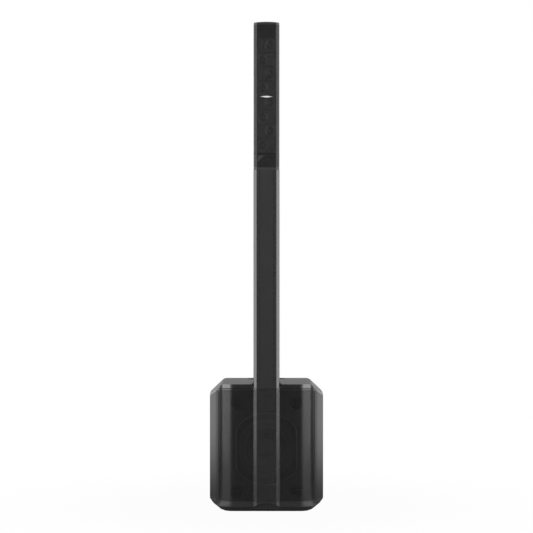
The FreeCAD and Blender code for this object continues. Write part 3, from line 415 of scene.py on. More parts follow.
FINISHES: dict[str, Finish] = {
    "cabinet": LeatheredPlastic("cabinet_plastic", (0.009, 0.009, 0.0095), 0.38, specular=0.3,
                                grain_height=0.00003),
    "caps": LeatheredPlastic("cap_plastic", (0.008, 0.008, 0.0085), 0.60, specular=1.0, upright=0.36),
    "grille": Finish("grille_powder_coat", (0.008, 0.008, 0.008), 0.29, specular=0.65, grain_size=0.0004,
                     grain_height=0.00001),
    # The spine's strips are the same sheet as the grille's, painted lighter and glossier to stand in for the
    # brighter light that falls on them.
    "spine": Finish("spine_coat_painted_lighter", (0.014, 0.014, 0.014), 0.29, specular=0.9, grain_size=0.0004,
                    grain_height=0.00001),
    "array_sheet": Finish("array_powder_coat", (0.012, 0.012, 0.012), 0.31, grain_size=0.0004,
                          grain_height=0.00001),
    # Near-black and matte: painted shade for the gap where each end of the grille meets the sides.
    "seam_shade": Finish("seam_shade_finish", (0.006, 0.006, 0.006), 0.85, specular=0.2, grain_size=0.0005),
    "column": Finish("column_paint", (0.012, 0.012, 0.0125), 0.26, specular=0.8, grain_size=0.0005,
                     grain_height=0.000008, grain_lay=Grain.UPRIGHT),
    "strip": Finish("front_strip", (0.013, 0.013, 0.0135), 0.32, grain_size=0.0006, grain_height=0.00002),
    "panel": LeatheredPlastic("panel_powder_coat", (0.016, 0.016, 0.0165), grain_height=0.00003),
    "black": Finish("black_plastic", (0.010, 0.010, 0.010), grain_height=0.00003),
    "gloss": Finish("glossy_plastic", (0.008, 0.008, 0.008), 0.18, grain_height=0.0),
    "gasket": Finish("grey_gasket", (0.075, 0.075, 0.076), 0.5, grain_height=0.00001),
    "baffle": Finish("baffle_paint", (0.006, 0.006, 0.006), 0.6, specular=0.3, grain_size=0.0015,
                     grain_height=0.00008),
    "rubber": Finish("rubber", (0.009, 0.009, 0.009), 0.75, grain_size=0.0005, sheen=0.1),
    "cone": Finish("cone_paper", (0.010, 0.010, 0.0105), 0.7, grain_size=0.0012, grain_height=0.0001,
                   drift=0.25),
    "small_cone": Finish("coated_cone", (0.010, 0.010, 0.0105), 0.3, grain_size=0.0006,
                         grain_height=0.00001),
    "basket": Finish("basket_paint", (0.012, 0.012, 0.012), 0.4),
    "steel": Finish("plated_steel", (0.55, 0.55, 0.57), 0.32, metallic=1.0, grain_lay=Grain.ACROSS),
    "screw": Finish("black_screw_steel", (0.05, 0.05, 0.052), 0.35, metallic=0.8, grain_size=0.0004),
    "ferrite": Finish("ferrite", (0.03, 0.03, 0.032), 0.7, grain_size=0.0009, grain_height=0.0001),
    "sink": Finish("black_anodised", (0.03, 0.03, 0.032), 0.38, metallic=0.6, grain_lay=Grain.ACROSS),
    "board": Finish("circuit_board", (0.01, 0.06, 0.03), 0.4, grain_size=0.002),
    "brass": Finish("contact_brass", (0.75, 0.55, 0.22), 0.25, metallic=1.0),
    "badge": Finish("badge_aluminium", (0.5, 0.5, 0.505), 0.4, metallic=0.2, grain_lay=Grain.ACROSS),
    "marks": Finish("printed_marks", (0.62, 0.62, 0.62), 0.55, grain_height=0.000005),
    "glass": TintedGlass("display_lens", (0.02, 0.022, 0.028), 0.06, grain_height=0.0),
    "glow": Finish("display_glow", (0.06, 0.16, 0.2), 0.4, emission=(0.08, 0.27, 0.34), grain_height=0.0),
}
NODE_FINISH: dict[str, str] = {
    "cabinet_shell": "cabinet", "top_cap": "caps", "bottom_cap": "caps", "front_grille": "grille",
    "baffle_board": "baffle", "port_tubes": "black", "rubber_feet": "rubber", "carry_handle": "black",
    "woofer_basket": "basket", "woofer_screws": "screw", "woofer_surround": "rubber",
    "woofer_cone": "cone", "woofer_dust_cap": "cone", "woofer_spider": "cone",
    "woofer_top_plate": "steel", "woofer_magnet": "ferrite", "woofer_yoke": "steel",
    "column_socket": "black", "socket_contacts": "brass", "spacer_extrusion": "column",
    "spacer_front_panel": "strip", "spacer_plug": "black", "spacer_socket": "black",
    "spacer_cable": "rubber", "array_plug": "black", "array_top_cap": "black",
    "array_grille": "array_sheet", "array_housing": "column", "array_baffle": "black",
    "array_driver_frames": "basket", "array_driver_magnets": "steel", "array_driver_surrounds": "rubber",
    "array_cones_right": "small_cone", "array_cones_left": "small_cone", "array_bracket": "steel",
    "badge_strip": "badge", "amp_panel": "panel", "panel_screws": "screw", "heat_sink": "sink",
    "amp_board": "board", "mixer_board": "board", "power_supply": "board", "speaker_leads": "rubber",
    "mains_inlet": "black", "rocker_frame": "black", "power_rocker": "gloss", "display_window": "glass",
    "combo_jacks": "black", "line_jacks": "steel", "pot_bodies": "steel", "encoder_shaft": "steel",
    "encoder_knob": "black", "combo_latch_1": "steel", "combo_latch_2": "steel",
    "channel_knob_1": "black", "channel_knob_2": "black", "channel_knob_3": "black",
    "menu_button_1": "rubber", "menu_button_2": "rubber",
}


# ------------------------------------------------------------------------------ making meshes
def mesh_from(name: str, shape: bmesh.types.BMesh) -> bpy.types.Mesh:
    """Turns a bmesh into a mesh, and frees it.

    Args:
        name: The mesh's name.
        shape: The bmesh.

    Returns:
        The new mesh.
    """
    mesh = bpy.data.meshes.new(name)
    shape.to_mesh(mesh)
    shape.free()
    return mesh


def curve_through(name: str, points: Sequence[Point], closed: bool = False) -> bpy.types.Object:
    """Makes a curve of straight runs.

    Args:
        name: The object's name.
        points: The points that it goes through.
        closed: Whether it comes back to its start.

    Returns:
        The curve's object, which is in no scene.
    """
    data = bpy.data.curves.new(name, "CURVE")
    data.dimensions = "3D"
    line = data.splines.new("POLY")
    line.points.add(len(points) - 1)
    line.use_cyclic_u = closed
    for point, place in zip(line.points, points):
        point.co = (*place, 1.0)
    return bpy.data.objects.new(name, data)


def arc_points(centre: Plan, radius: float, start: float, stop: float, steps: int) -> list[Plan]:
    """Gives points along an arc.

    Args:
        centre: The arc's centre.
        radius: Its radius.
        start: Its first angle, in radians.
        stop: Its last angle, in radians.
        steps: How many straight runs it has.

    Returns:
        The points, one more than the steps.
    """
    angles = [start + (stop - start) * i / steps for i in range(steps + 1)]
    return [(centre[0] + radius * math.cos(a), centre[1] + radius * math.sin(a)) for a in angles]


def smooth(mesh: bpy.types.Mesh, angle: float) -> None:
    """Shades a mesh smooth, but keeps edges sharper than an angle in degrees."""
    mesh.polygons.foreach_set("use_smooth", [True] * len(mesh.polygons))
    mesh.set_sharp_from_angle(angle=math.radians(angle))


def middle_of(node: str) -> Point:
    """Gives the middle of a CAD node's box."""
    low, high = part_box(node)
    return tuple((a + b) / 2 for a, b in zip(low, high))


def body_of_node(node: str) -> str:
    """Names the body that carries a CAD node."""
    bodies = frame["record"]["behaviour"]["bodies"]
    return next(body for body, nodes in bodies.items() if node in nodes)


def settle(piece: bpy.types.Object, node: str) -> None:
    """Lets a finished piece ride on the body of a CAD node, and reports it.

    Args:
        piece: The piece.
        node: The CAD node that carries it.
    """
    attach(piece, body_of_node(node))
    log.info("%s: %d faces", piece.name, len(piece.data.polygons))


@dataclass
class Workshop:
    """Makes objects and gives them their finishes, and keeps each finish once."""

    materials: dict[str, bpy.types.Material] = field(default_factory=dict)
    merge: float = 2e-6
    flat_angle: float = 0.4
    edge_angle: float = 28.0
    shading_angle: float = 35.0
    edge_segments: int = 2
    face_weight: int = 100

    def finish(self, name: str) -> bpy.types.Material:
        """Gives the material of a finish, and makes it when it is first asked for.

        Args:
            name: The finish's name.

        Returns:
            The material.
        """
        if name not in self.materials:
            self.materials[name] = FINISHES[name].build()
        return self.materials[name]

    def dress(self, piece: bpy.types.Object, name: str) -> None:
        """Gives a whole piece one finish."""
        piece.data.materials.clear()
        piece.data.materials.append(self.finish(name))

    def add(self, name: str, mesh: bpy.types.Mesh, finish: str) -> bpy.types.Object:
        """Puts a mesh into the scene at the origin.

        Args:
            name: The piece's name.
            mesh: Its mesh, in the frame's metres.
            finish: Its finish.

        Returns:
            The new object.
        """
        piece = bpy.data.objects.new(name, mesh)
        bpy.context.scene.collection.objects.link(piece)
        self.dress(piece, finish)
        return piece

    def from_bmesh(self, name: str, shape: bmesh.types.BMesh, finish: str) -> bpy.types.Object:
        """Turns a bmesh into a dressed object."""
        return self.add(name, mesh_from(name, shape), finish)

    def bake(self, piece: bpy.types.Object) -> None:
        """Applies a piece's modifiers to its mesh.

        Args:
            piece: The piece.
        """
        bpy.context.view_layer.update()
        solved = piece.evaluated_get(bpy.context.evaluated_depsgraph_get())
        mesh = bpy.data.meshes.new_from_object(solved)
        piece.modifiers.clear()
        piece.data = mesh

    def grow(
        self, name: str, finish: str, tree: bpy.types.NodeTree, spares: dict[str, bpy.types.Object],
        sizes: dict[str, object],
    ) -> bpy.types.Object:
        """Makes a piece with a geometry tree.

        Args:
            name: The piece's name.
            finish: Its finish.
            tree: The tree, which is used up.
            spares: The objects that the tree takes, which are used up.
            sizes: The tree's other inputs.

        Returns:
            The piece as a plain mesh.
        """
        piece = self.add(name, bpy.data.meshes.new(name), finish)
        values = {**spares, **sizes, "Finish": self.finish(finish)}
        modifier = piece.modifiers.new("grow", "NODES")
        modifier.node_group = tree
        for item in tree.interface.items_tree:
            if item.in_out == "INPUT" and item.name in values:
                modifier[item.identifier] = values[item.name]
        self.bake(piece)
        for spare in spares.values():
            bpy.data.objects.remove(spare)
        bpy.data.node_groups.remove(tree)
        return piece

    def soften(self, node: str, name: str, finish: str, width: float) -> None:
        """Stands a copy with rounded edges in for a CAD node.

        Args:
            node: The CAD node to copy.
            name: The new piece's name.
            finish: Its finish.
            width: How wide the rounding is, in metres.
        """
        shape = bmesh.new()
        shape.from_mesh(frame["nodes"][node].data)
        bmesh.ops.remove_doubles(shape, verts=shape.verts, dist=self.merge)
        flat = math.radians(self.flat_angle)
        bmesh.ops.dissolve_limit(shape, angle_limit=flat, verts=shape.verts, edges=shape.edges)
        piece = self.from_bmesh(name, shape, finish)
        round_edges = piece.modifiers.new("round_edges", "BEVEL")
        round_edges.width = width
        round_edges.segments = self.edge_segments
        round_edges.limit_method = "ANGLE"
        round_edges.angle_limit = math.radians(self.edge_angle)
        self.bake(piece)
        smooth(piece.data, self.shading_angle)
        level_faces = piece.modifiers.new("level_faces", "WEIGHTED_NORMAL")
        level_faces.weight = self.face_weight
        level_faces.keep_sharp = True
        self.bake(piece)
        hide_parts(node)
        settle(piece, node)

    def soften_all(self, rows: Sequence[Softened]) -> None:
        """Softens CAD nodes, each row with the node, the piece's name, its finish and the width."""
        for row in rows:
            self.soften(*row)


# ------------------------------------------------------------------------------ perforated sheet
@dataclass
class Wrap:
    """A path in plan from left to right, seen from the front."""

    points: list[Plan]

    @property
    def length(self) -> float:
        """The path's whole length."""
        return sum(math.dist(a, b) for a, b in zip(self.points, self.points[1:]))

    def inset(self, depth: float) -> "Wrap":
        """Moves the path inwards, with its corners kept sharp.

        Args:
            depth: How far it moves.

        Returns:
            The new path, with as many points.
        """
        moved = []
        count = len(self.points)
        for i, (x, y) in enumerate(self.points):
            normals = []
            for j in (i - 1, i):
                if 0 <= j < count - 1:
                    a, b = self.points[j], self.points[j + 1]
                    step = math.dist(a, b)
                    normals.append(((b[1] - a[1]) / step, -(b[0] - a[0]) / step))
            nx = sum(n[0] for n in normals) / len(normals)
            ny = sum(n[1] for n in normals) / len(normals)
            size = nx * nx + ny * ny
            moved.append((x - nx / size * depth, y - ny / size * depth))
        return Wrap(moved)

    def curve(self) -> bpy.types.Object:
        """Makes the path as a curve at height zero."""
        return curve_through("path", [(x, y, 0.0) for x, y in self.points])

    def ribbon(self, shape: bmesh.types.BMesh, depth: float, edges: Callable[[Plan], Plan]) -> None:
        """Adds a ribbon of sheet along the path to a bmesh.

        Args:
            shape: The bmesh to add to.
            depth: How thick the sheet is.
            edges: Gives the ribbon's lower and upper edge at a place on the path.
        """
        rows = []
        for outside, inside in zip(self.points, self.inset(depth).points):
            low, high = edges(outside)
            corners = ((*outside, low), (*outside, high), (*inside, high), (*inside, low))
            rows.append([shape.verts.new(corner) for corner in corners])
        for a, b in zip(rows, rows[1:]):
            for i in range(4):
                j = (i + 1) % 4
                shape.faces.new((a[i], b[i], b[j], a[j]))
        shape.faces.new(rows[0])
        shape.faces.new(list(reversed(rows[-1])))


@dataclass(frozen=True)
class Perforation:
    """Round holes on a triangular grid, laid out flat and then bent onto a path."""

    pitch: float
    hole: float
    sheet: float
    corners: int = 12
    half_side: float = math.radians(30.0)

    @property
    def row_pitch(self) -> float:
        """Height from one row of holes to the next."""
        return self.pitch * math.sqrt(0.75)

    def cell(self) -> bpy.types.Object:
        """Makes one hexagon of sheet with its hole, in the flat layout, without its outer wall.

        Returns:
            The cell, whose points know which side of the sheet they are on.
        """
        shape = bmesh.new()
        side = shape.verts.layers.float.new("outer_side")
        reach = self.pitch / math.sqrt(3.0)
        hole = self.hole / 2
        rings: list[list[bmesh.types.BMVert]] = [[], [], [], []]
        for i in range(self.corners):
            angle = math.tau / self.corners * i + self.half_side
            rim = reach if i % 2 == 0 else reach * math.cos(self.half_side)
            places = ((rim, 0.0), (hole, 0.0), (hole, -self.sheet), (rim, -self.sheet))
            for ring, (r, height) in zip(rings, places):
                point = shape.verts.new((r * math.cos(angle), r * math.sin(angle), height))
                point[side] = 1.0 if height == 0.0 else 0.0
                ring.append(point)
        for outer, inner in zip(rings, rings[1:]):
            for i in range(self.corners):
                j = (i + 1) % self.corners
                shape.faces.new((outer[i], outer[j], inner[j], inner[i]))
        return bpy.data.objects.new("perforation_cell", mesh_from("perforation_cell", shape))

    def tree(self) -> bpy.types.NodeTree:
        """Builds the node tree that lays the cells out flat and bends them onto the path.

        Returns:
            The tree, whose inputs are the sheet's path, cell, grid, edges and finish.
        """
        board = NodeBoard.geometry("perforated_sheet", {
            "Geometry": "Geometry", "Path": "Object", "Cell": "Object", "Pitch": "Float",
            "Row Pitch": "Float", "First Column": "Int", "Columns": "Int", "Rows": "Int", "Reach": "Float",
            "Bottom": "Float", "Ridge": "Float", "Ridge Height": "Float", "Slope": "Float",
            "Finish": "Material",
        })
        given = board.add("NodeGroupInput").outputs
        grid = board.add("GeometryNodeMeshGrid")
        board.fill(grid, {"Vertices X": given["Columns"], "Vertices Y": given["Rows"]})
        index = board.add("GeometryNodeInputIndex").outputs[0]
        column = board.math("FLOOR", board.math("DIVIDE", index, given["Rows"]))
        row = board.math("MODULO", index, given["Rows"])
        shifted = board.math("MULTIPLY", board.math("MODULO", row, 2.0), 0.5)
        along = board.math("ADD", board.math("ADD", column, given["First Column"]), shifted)
        x = board.math("MULTIPLY", board.math("ADD", along, 0.5), given["Pitch"])
        y = board.math("MULTIPLY", board.math("ADD", row, 0.5), given["Row Pitch"])
        laid = board.move(grid.outputs["Mesh"], board.vector(x, y, 0.0))
        flat = board.split(board.add("GeometryNodeInputPosition").outputs[0])
        sample = board.add("GeometryNodeSampleCurve", mode="LENGTH", use_all_curves=True)
        board.fill(sample, {"Curves": board.shape_of(given["Path"]), "Length": flat[0]})
        spot = board.split(sample.outputs["Position"])
        run = board.split(sample.outputs["Tangent"])
        height = board.math("ADD", flat[1], given["Bottom"])
        beside = board.math("SUBTRACT", board.math("ABSOLUTE", spot[0]), given["Ridge"])
        drop = board.math("MULTIPLY", board.math("MAXIMUM", beside, 0.0), given["Slope"])
        under = board.math("LESS_THAN", height, board.math("SUBTRACT", given["Ridge Height"], drop))
        within = board.math("LESS_THAN", flat[0], given["Reach"])
        spread = board.add("GeometryNodeInstanceOnPoints")
        board.fill(spread, {
            "Points": laid, "Selection": board.math("MULTIPLY", under, within),
            "Instance": board.shape_of(given["Cell"]),
        })
        new_x = board.math("ADD", spot[0], board.math("MULTIPLY", run[1], flat[2]))
        new_y = board.math("SUBTRACT", spot[1], board.math("MULTIPLY", run[0], flat[2]))
        bent = board.move(board.realize(spread.outputs["Instances"]), board.vector(new_x, new_y, height))
        board.finish(bent, given["Finish"])
        return board.tree


def close_sheet(mesh: bpy.types.Mesh, merge: float) -> None:
    """Joins a perforated sheet's doubled points and walls its outer rim.

    Args:
        mesh: The sheet, whose points know which side they are on.
        merge: How near two points have to be to be one.
    """
    shape = bmesh.new()
    shape.from_mesh(mesh)
    bmesh.ops.remove_doubles(shape, verts=shape.verts, dist=merge)
    side = shape.verts.layers.float["outer_side"]
    rim = [edge for edge in shape.edges if edge.is_boundary]
    inner = list({point for edge in rim for point in edge.verts if point[side] < 0.5})
    places = KDTree(len(inner))
    for i, point in enumerate(inner):
        places.insert(point.co, i)
    places.balance()
    for edge in rim:
        if all(point[side] > 0.5 for point in edge.verts):
            loop = edge.link_loops[0]
            a, b = loop.vert, loop.link_loop_next.vert
            below = [inner[places.find(point.co)[1]] for point in (a, b)]
            if below[0] is not below[1]:
                shape.faces.new((b, a, below[0], below[1]))
    shape.to_mesh(mesh)
    shape.free()


@dataclass
class WrappedGrille:
    """A perforated grille wrapped round a front, made in upright strips with a plain border.

    Its top edge is level as far as the ridge, a distance from the middle, and falls at the slope
    beyond it.  The setback is how far the perforated sheet lies behind the border's face.
    """

    workshop: Workshop
    node: str
    outline: Wrap
    holes: Perforation
    border: float
    ridge: float = 1.0
    slope: float = 0.0
    setback: float = 0.0003
    end_gap: float = 0.4
    ridge_gap: float = 0.6
    merge: float = 0.02

    @property
    def bottom(self) -> float:
        """Height of the grille's bottom edge."""
        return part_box(self.node)[0][2]

    @property
    def top(self) -> float:
        """Height of the grille's top edge at its middle."""
        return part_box(self.node)[1][2]

    def low_band(self, place: Plan) -> Plan:
        """Lower and upper edge of the border along the bottom."""
        return self.bottom, self.bottom + self.border

    def high_band(self, place: Plan) -> Plan:
        """Lower and upper edge of the border along the top, which falls beyond the ridge."""
        edge = self.top - max(abs(place[0]) - self.ridge, 0.0) * self.slope
        return edge - self.border, edge

    def between_bands(self, place: Plan) -> Plan:
        """Lower and upper edge of what lies between the two borders."""
        return self.low_band(place)[1], self.high_band(place)[0]

    def make_strips(self, names: Sequence[str], stops: Sequence[float], finishes: Sequence[str]) -> None:
        """Builds the perforated sheet.

        Args:
            names: The strips' names, from left to right.
            stops: Where each strip ends, as lengths along the path.
            finishes: The strips' finishes.
        """
        path = self.outline.inset(self.setback)
        pitch = path.length / round(path.length / self.holes.pitch)
        holes = replace(self.holes, pitch=pitch)
        first = 0
        for name, stop, finish in zip(names, stops, finishes):
            last = round(stop / pitch)
            sizes = {
                "Pitch": pitch, "Row Pitch": holes.row_pitch, "First Column": first,
                "Columns": last - first, "Rows": int((self.top - self.bottom) / holes.row_pitch),
                "Reach": path.length - self.end_gap * pitch, "Bottom": self.bottom, "Ridge": self.ridge,
                "Ridge Height": self.top - self.ridge_gap * pitch, "Slope": self.slope,
            }
            spares = {"Path": path.curve(), "Cell": holes.cell()}
            piece = self.workshop.grow(name, finish, holes.tree(), spares, sizes)
            close_sheet(piece.data, self.merge * pitch)
            if first == 0:
                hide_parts(self.node)
            settle(piece, self.node)
            first = last

    def band_bmesh(self, paths: Sequence[Wrap], bands: Sequence[Callable[[Plan], Plan]]) -> bmesh.types.BMesh:
        """Lays plain bands as thick as the sheet along paths.

        Args:
            paths: Each band's path.
            bands: What gives each band's lower and upper edge at a place on its path.

        Returns:
            The bands as one bmesh.
        """
        shape = bmesh.new()
        for path, band in zip(paths, bands):
            path.ribbon(shape, self.setback + self.holes.sheet, band)
        return shape

    def make_border(self, name: str, finish: str) -> None:
        """Builds the plain border along the sheet's top and bottom."""
        shape = self.band_bmesh((self.outline, self.outline), (self.low_band, self.high_band))
        settle(self.workshop.from_bmesh(name, shape, finish), self.node)

    def make_seam_shade(self, name: str, ends: int) -> None:
        """Builds dark matte strips down the sheet's two ends, as painted shade for the gaps at its seams.

        Args:
            name: The piece's name.
            ends: How many points of the path at each end a strip covers.
        """
        paths = (Wrap(self.outline.points[:ends]), Wrap(self.outline.points[-ends:]))
        shape = self.band_bmesh(paths, (self.between_bands, self.between_bands))
        settle(self.workshop.from_bmesh(name, shape, "seam_shade"), self.node)


# ------------------------------------------------------------------------------ the cabinet
@dataclass
class Cabinet:
    """The base: softened mouldings, the grille wrapped round its front, and its trim."""

    workshop: Workshop
    spine_front: float = 0.040
    spine_root: float = 0.052
    spine_depth: float = 0.012
    flank: float = 0.133
    seam: float = 0.194
    seam_depth: float = 0.060
    # Beyond the ridge the grille's top edge falls with the top cap's lower edge.
    ridge: float = 0.18547
    slope: float = 52.0 / 55.5
    arc_steps: int = 28
    holes: Perforation = Perforation(pitch=0.0045, hole=0.0033, sheet=0.0012)
    border: float = 0.0052
    seam_shade_points: int = 4
    trim_radius: float = 0.146
    trim_half: float = 0.120
    trim_corner: float = 0.025
    trim_bead: float = 0.0016
    trim_roundness: int = 3
    trim_shading: float = 60.0
    corner_steps: int = 6
    round_steps: int = 18
    softened: tuple[Softened, ...] = (
        ("cabinet_shell", "cabinet_sides", "cabinet", 0.0007),
        ("top_cap", "cabinet_top", "caps", 0.0012),
        ("bottom_cap", "cabinet_foot", "caps", 0.0008),
        ("carry_handle", "carry_grip", "black", 0.0012),
        ("rubber_feet", "foot_pads", "rubber", 0.0010),
    )

    def grille_path(self) -> Wrap:
        """Gives the outside of the front sheet in plan.

        Returns:
            The path from the left seam to the right.
        """
        flank_y = FRONT_Y + self.spine_depth
        rise = self.seam_depth - self.spine_depth
        run = self.seam - self.flank
        radius = (run * run + rise * rise) / (2.0 * rise)
        turn = math.asin(run / radius)
        start = -math.pi / 2
        corner = arc_points((self.flank, flank_y + radius), radius, start, start + turn, self.arc_steps)
        right = [(self.spine_front, FRONT_Y), (self.spine_root, flank_y), *corner]
        left = [(-x, y) for x, y in reversed(right)]
        return Wrap(left + right)

    def make_grille(self) -> None:
        """Builds the perforated sheet round the front."""
        path = self.grille_path()
        grille = WrappedGrille(
            self.workshop, "front_grille", path, self.holes, self.border, self.ridge, self.slope,
        )
        middle = path.length / 2
        spine = self.spine_front + math.hypot(self.spine_root - self.spine_front, self.spine_depth)
        flank = spine + self.flank - self.spine_root
        # The spine strips take the lighter, glossier spine coat, which is painted light on the grille's own
        # sheet.
        strips = (
            ("corner_left", -flank, "grille"), ("flank_left", -spine, "grille"), ("spine_left", 0.0, "spine"),
            ("spine_right", spine, "spine"), ("flank_right", flank, "grille"),
            ("corner_right", middle, "grille"),
        )
        grille.make_strips(
            ["grille_" + name for name, along, finish in strips],
            [middle + along for name, along, finish in strips],
            [finish for name, along, finish in strips],
        )
        grille.make_border("grille_border", "grille")
        # Dark matte strips on the grille's ends are painted shade for the gaps at its seams.
        grille.make_seam_shade("grille_seals", self.seam_shade_points)

    def trim_outline(self) -> list[Plan]:
        """Gives the recess's outline: a circle cut off at each side, with its corners rounded.

        Returns:
            The outline as (x, z), from the middle of the right side round.
        """
        inner = self.trim_half - self.trim_corner
        centre_z = math.sqrt((self.trim_radius - self.trim_corner) ** 2 - inner ** 2)
        lean = math.atan2(centre_z, inner)
        quarter = arc_points((inner, centre_z), self.trim_corner, 0.0, lean, self.corner_steps)
        quarter += arc_points((0.0, 0.0), self.trim_radius, lean, math.pi / 2, self.round_steps)[1:]
        upper = quarter + [(-x, z) for x, z in reversed(quarter[:-1])]
        return upper + [(-x, -z) for x, z in upper]

    def make_trim(self) -> None:
        """Lays a thin bead round the woofer's recess, on the baffle's face."""
        middle_z = middle_of("woofer_cone")[2]
        face_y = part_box("baffle_board")[0][1]
        outline = [(x, face_y, middle_z + z) for x, z in self.trim_outline()]
        source = curve_through("recess_path", outline, True)
        source.data.bevel_depth = self.trim_bead
        source.data.bevel_resolution = self.trim_roundness
        bead = self.workshop.add("recess_trim", bpy.data.meshes.new_from_object(source), "gasket")
        bpy.data.objects.remove(source)
        smooth(bead.data, self.trim_shading)
        settle(bead, "baffle_board")

    def build(self) -> None:
        """Makes every piece of the cabinet that shows."""
        self.make_grille()
        self.make_trim()
        self.workshop.soften_all(self.softened)


# ------------------------------------------------------------------------------ the column
@dataclass
class Column:
    """The spacer and the line array."""

    workshop: Workshop
    front_half: float = 0.039
    half: float = 0.052
    shoulder_step: float = 0.0025
    shoulder_depth: float = 0.0065
    facet_depth: float = 0.038
    front_step: float = 0.001
    side_run: float = 0.006
    holes: Perforation = Perforation(pitch=0.0041, hole=0.0029, sheet=0.0010)
    border: float = 0.0045
    softened: tuple[Softened, ...] = (
        ("spacer_extrusion", "spacer_tube", "column", 0.0005),
        ("spacer_front_panel", "spacer_strip", "strip", 0.0005),
        ("array_housing", "array_back", "column", 0.0005),
        ("array_top_cap", "array_crown", "black", 0.0002),
        ("array_plug", "array_foot", "black", 0.0005),
        ("badge_strip", "badge_blank", "badge", 0.0003),
    )

    def array_path(self) -> Wrap:
        """Gives the outside of the array's grille in plan.

        Returns:
            The path from left to right.
        """
        facet_y = FRONT_Y + self.facet_depth
        right = [
            (self.front_half, FRONT_Y + self.front_step),
            (self.half - self.shoulder_step, FRONT_Y + self.shoulder_depth),
            (self.half, facet_y), (self.half, facet_y + self.side_run),
        ]
        return Wrap([(-x, y) for x, y in reversed(right)] + right)

    def make_grille(self) -> None:
        """Builds the array's perforated sheet."""
        path = self.array_path()
        grille = WrappedGrille(self.workshop, "array_grille", path, self.holes, self.border)
        middle = path.length / 2
        names = ["array_grille_" + name for name in ("left", "front_left", "front_right", "right")]
        stops = [middle + along for along in (-self.front_half, 0.0, self.front_half, middle)]
        grille.make_strips(names, stops, ("array_sheet",) * len(names))
        grille.make_border("array_grille_border", "array_sheet")

    def build(self) -> None:
        """Makes every piece of the column that shows."""
        self.make_grille()
        self.workshop.soften_all(self.softened)


# ------------------------------------------------------------------------------ the rear panel
# How far a printed mark stands above its face.
PRINT = 0.00012


def plate(shape: bmesh.types.BMesh, low: Plan, high: Plan, faces: Span) -> None:
    """Adds a flat upright plate to a bmesh.

    Args:
        shape: The bmesh to add to.
        low: Its lower left corner as (x, z), seen from the front.
        high: Its upper right corner.
        faces: The y of its front face and of its rear face.
    """
    outline = (low, (high[0], low[1]), high, (low[0], high[1]))
    front, rear = ([shape.verts.new((x, y, z)) for x, z in outline] for y in faces)
    shape.faces.new(front)
    shape.faces.new(list(reversed(rear)))
    for i in range(4):
        j = (i + 1) % 4
        shape.faces.new((front[j], front[i], rear[i], rear[j]))


@dataclass
class Marks:
    """Small marks repeated in steps and turns, raised a hair above a rear face."""

    columns: int
    rows: int
    centre: Point
    step: Point = (0.0, 0.0, 0.0)
    row_step: Point = (0.0, 0.0, 0.0)
    first_turn: float = 0.0
    turn: float = 0.0

    def tree(self) -> bpy.types.NodeTree:
        """Builds the node tree that repeats a mark.

        Returns:
            The tree, whose inputs are the mark, its grid, its turns and its finish.
        """
        board = NodeBoard.geometry("repeated_marks", {
            "Geometry": "Geometry", "Mark": "Object", "Columns": "Int", "Rows": "Int", "Centre": "Vector",
            "Step": "Vector", "Row Step": "Vector", "First Turn": "Float", "Turn": "Float",
            "Finish": "Material",
        })
        given = board.add("NodeGroupInput").outputs
        points = board.add("GeometryNodeMeshLine")
        board.fill(points, {"Count": board.math("MULTIPLY", given["Columns"], given["Rows"])})
        index = board.add("GeometryNodeInputIndex").outputs[0]
        column = board.math("MODULO", index, given["Columns"])
        row = board.math("FLOOR", board.math("DIVIDE", index, given["Columns"]))
        place = []
        for parts in zip(*(board.split(given[name]) for name in ("Centre", "Step", "Row Step"))):
            centre, step, row_step = parts
            across = board.math("MULTIPLY", column, step)
            moved = board.math("ADD", across, board.math("MULTIPLY", row, row_step))
            place.append(board.math("ADD", centre, moved))
        angle = board.math("ADD", given["First Turn"], board.math("MULTIPLY", column, given["Turn"]))
        spread = board.add("GeometryNodeInstanceOnPoints")
        board.fill(spread, {
            "Points": board.move(points.outputs["Mesh"], board.vector(*place)),
            "Instance": board.shape_of(given["Mark"]), "Rotation": board.vector(0.0, angle, 0.0),
        })
        board.finish(spread.outputs["Instances"], given["Finish"])
        return board.tree

    def make(self, workshop: Workshop, name: str, finish: str, size: Plan, lift: float, node: str) -> None:
        """Makes the marks as one piece.

        Args:
            workshop: Where it is made.
            name: The piece's name.
            finish: Its finish.
            size: A mark's width and height.
            lift: How far above the turning centre a mark starts.
            node: The CAD node that carries it.
        """
        shape = bmesh.new()
        plate(shape, (-size[0] / 2, lift), (size[0] / 2, lift + size[1]), (0.0, PRINT))
        sizes = {
            "Columns": self.columns, "Rows": self.rows, "Centre": self.centre, "Step": self.step,
            "Row Step": self.row_step, "First Turn": self.first_turn, "Turn": self.turn,
        }
        spares = {"Mark": bpy.data.objects.new("mark", mesh_from("mark", shape))}
        settle(workshop.grow(name, finish, self.tree(), spares, sizes), node)


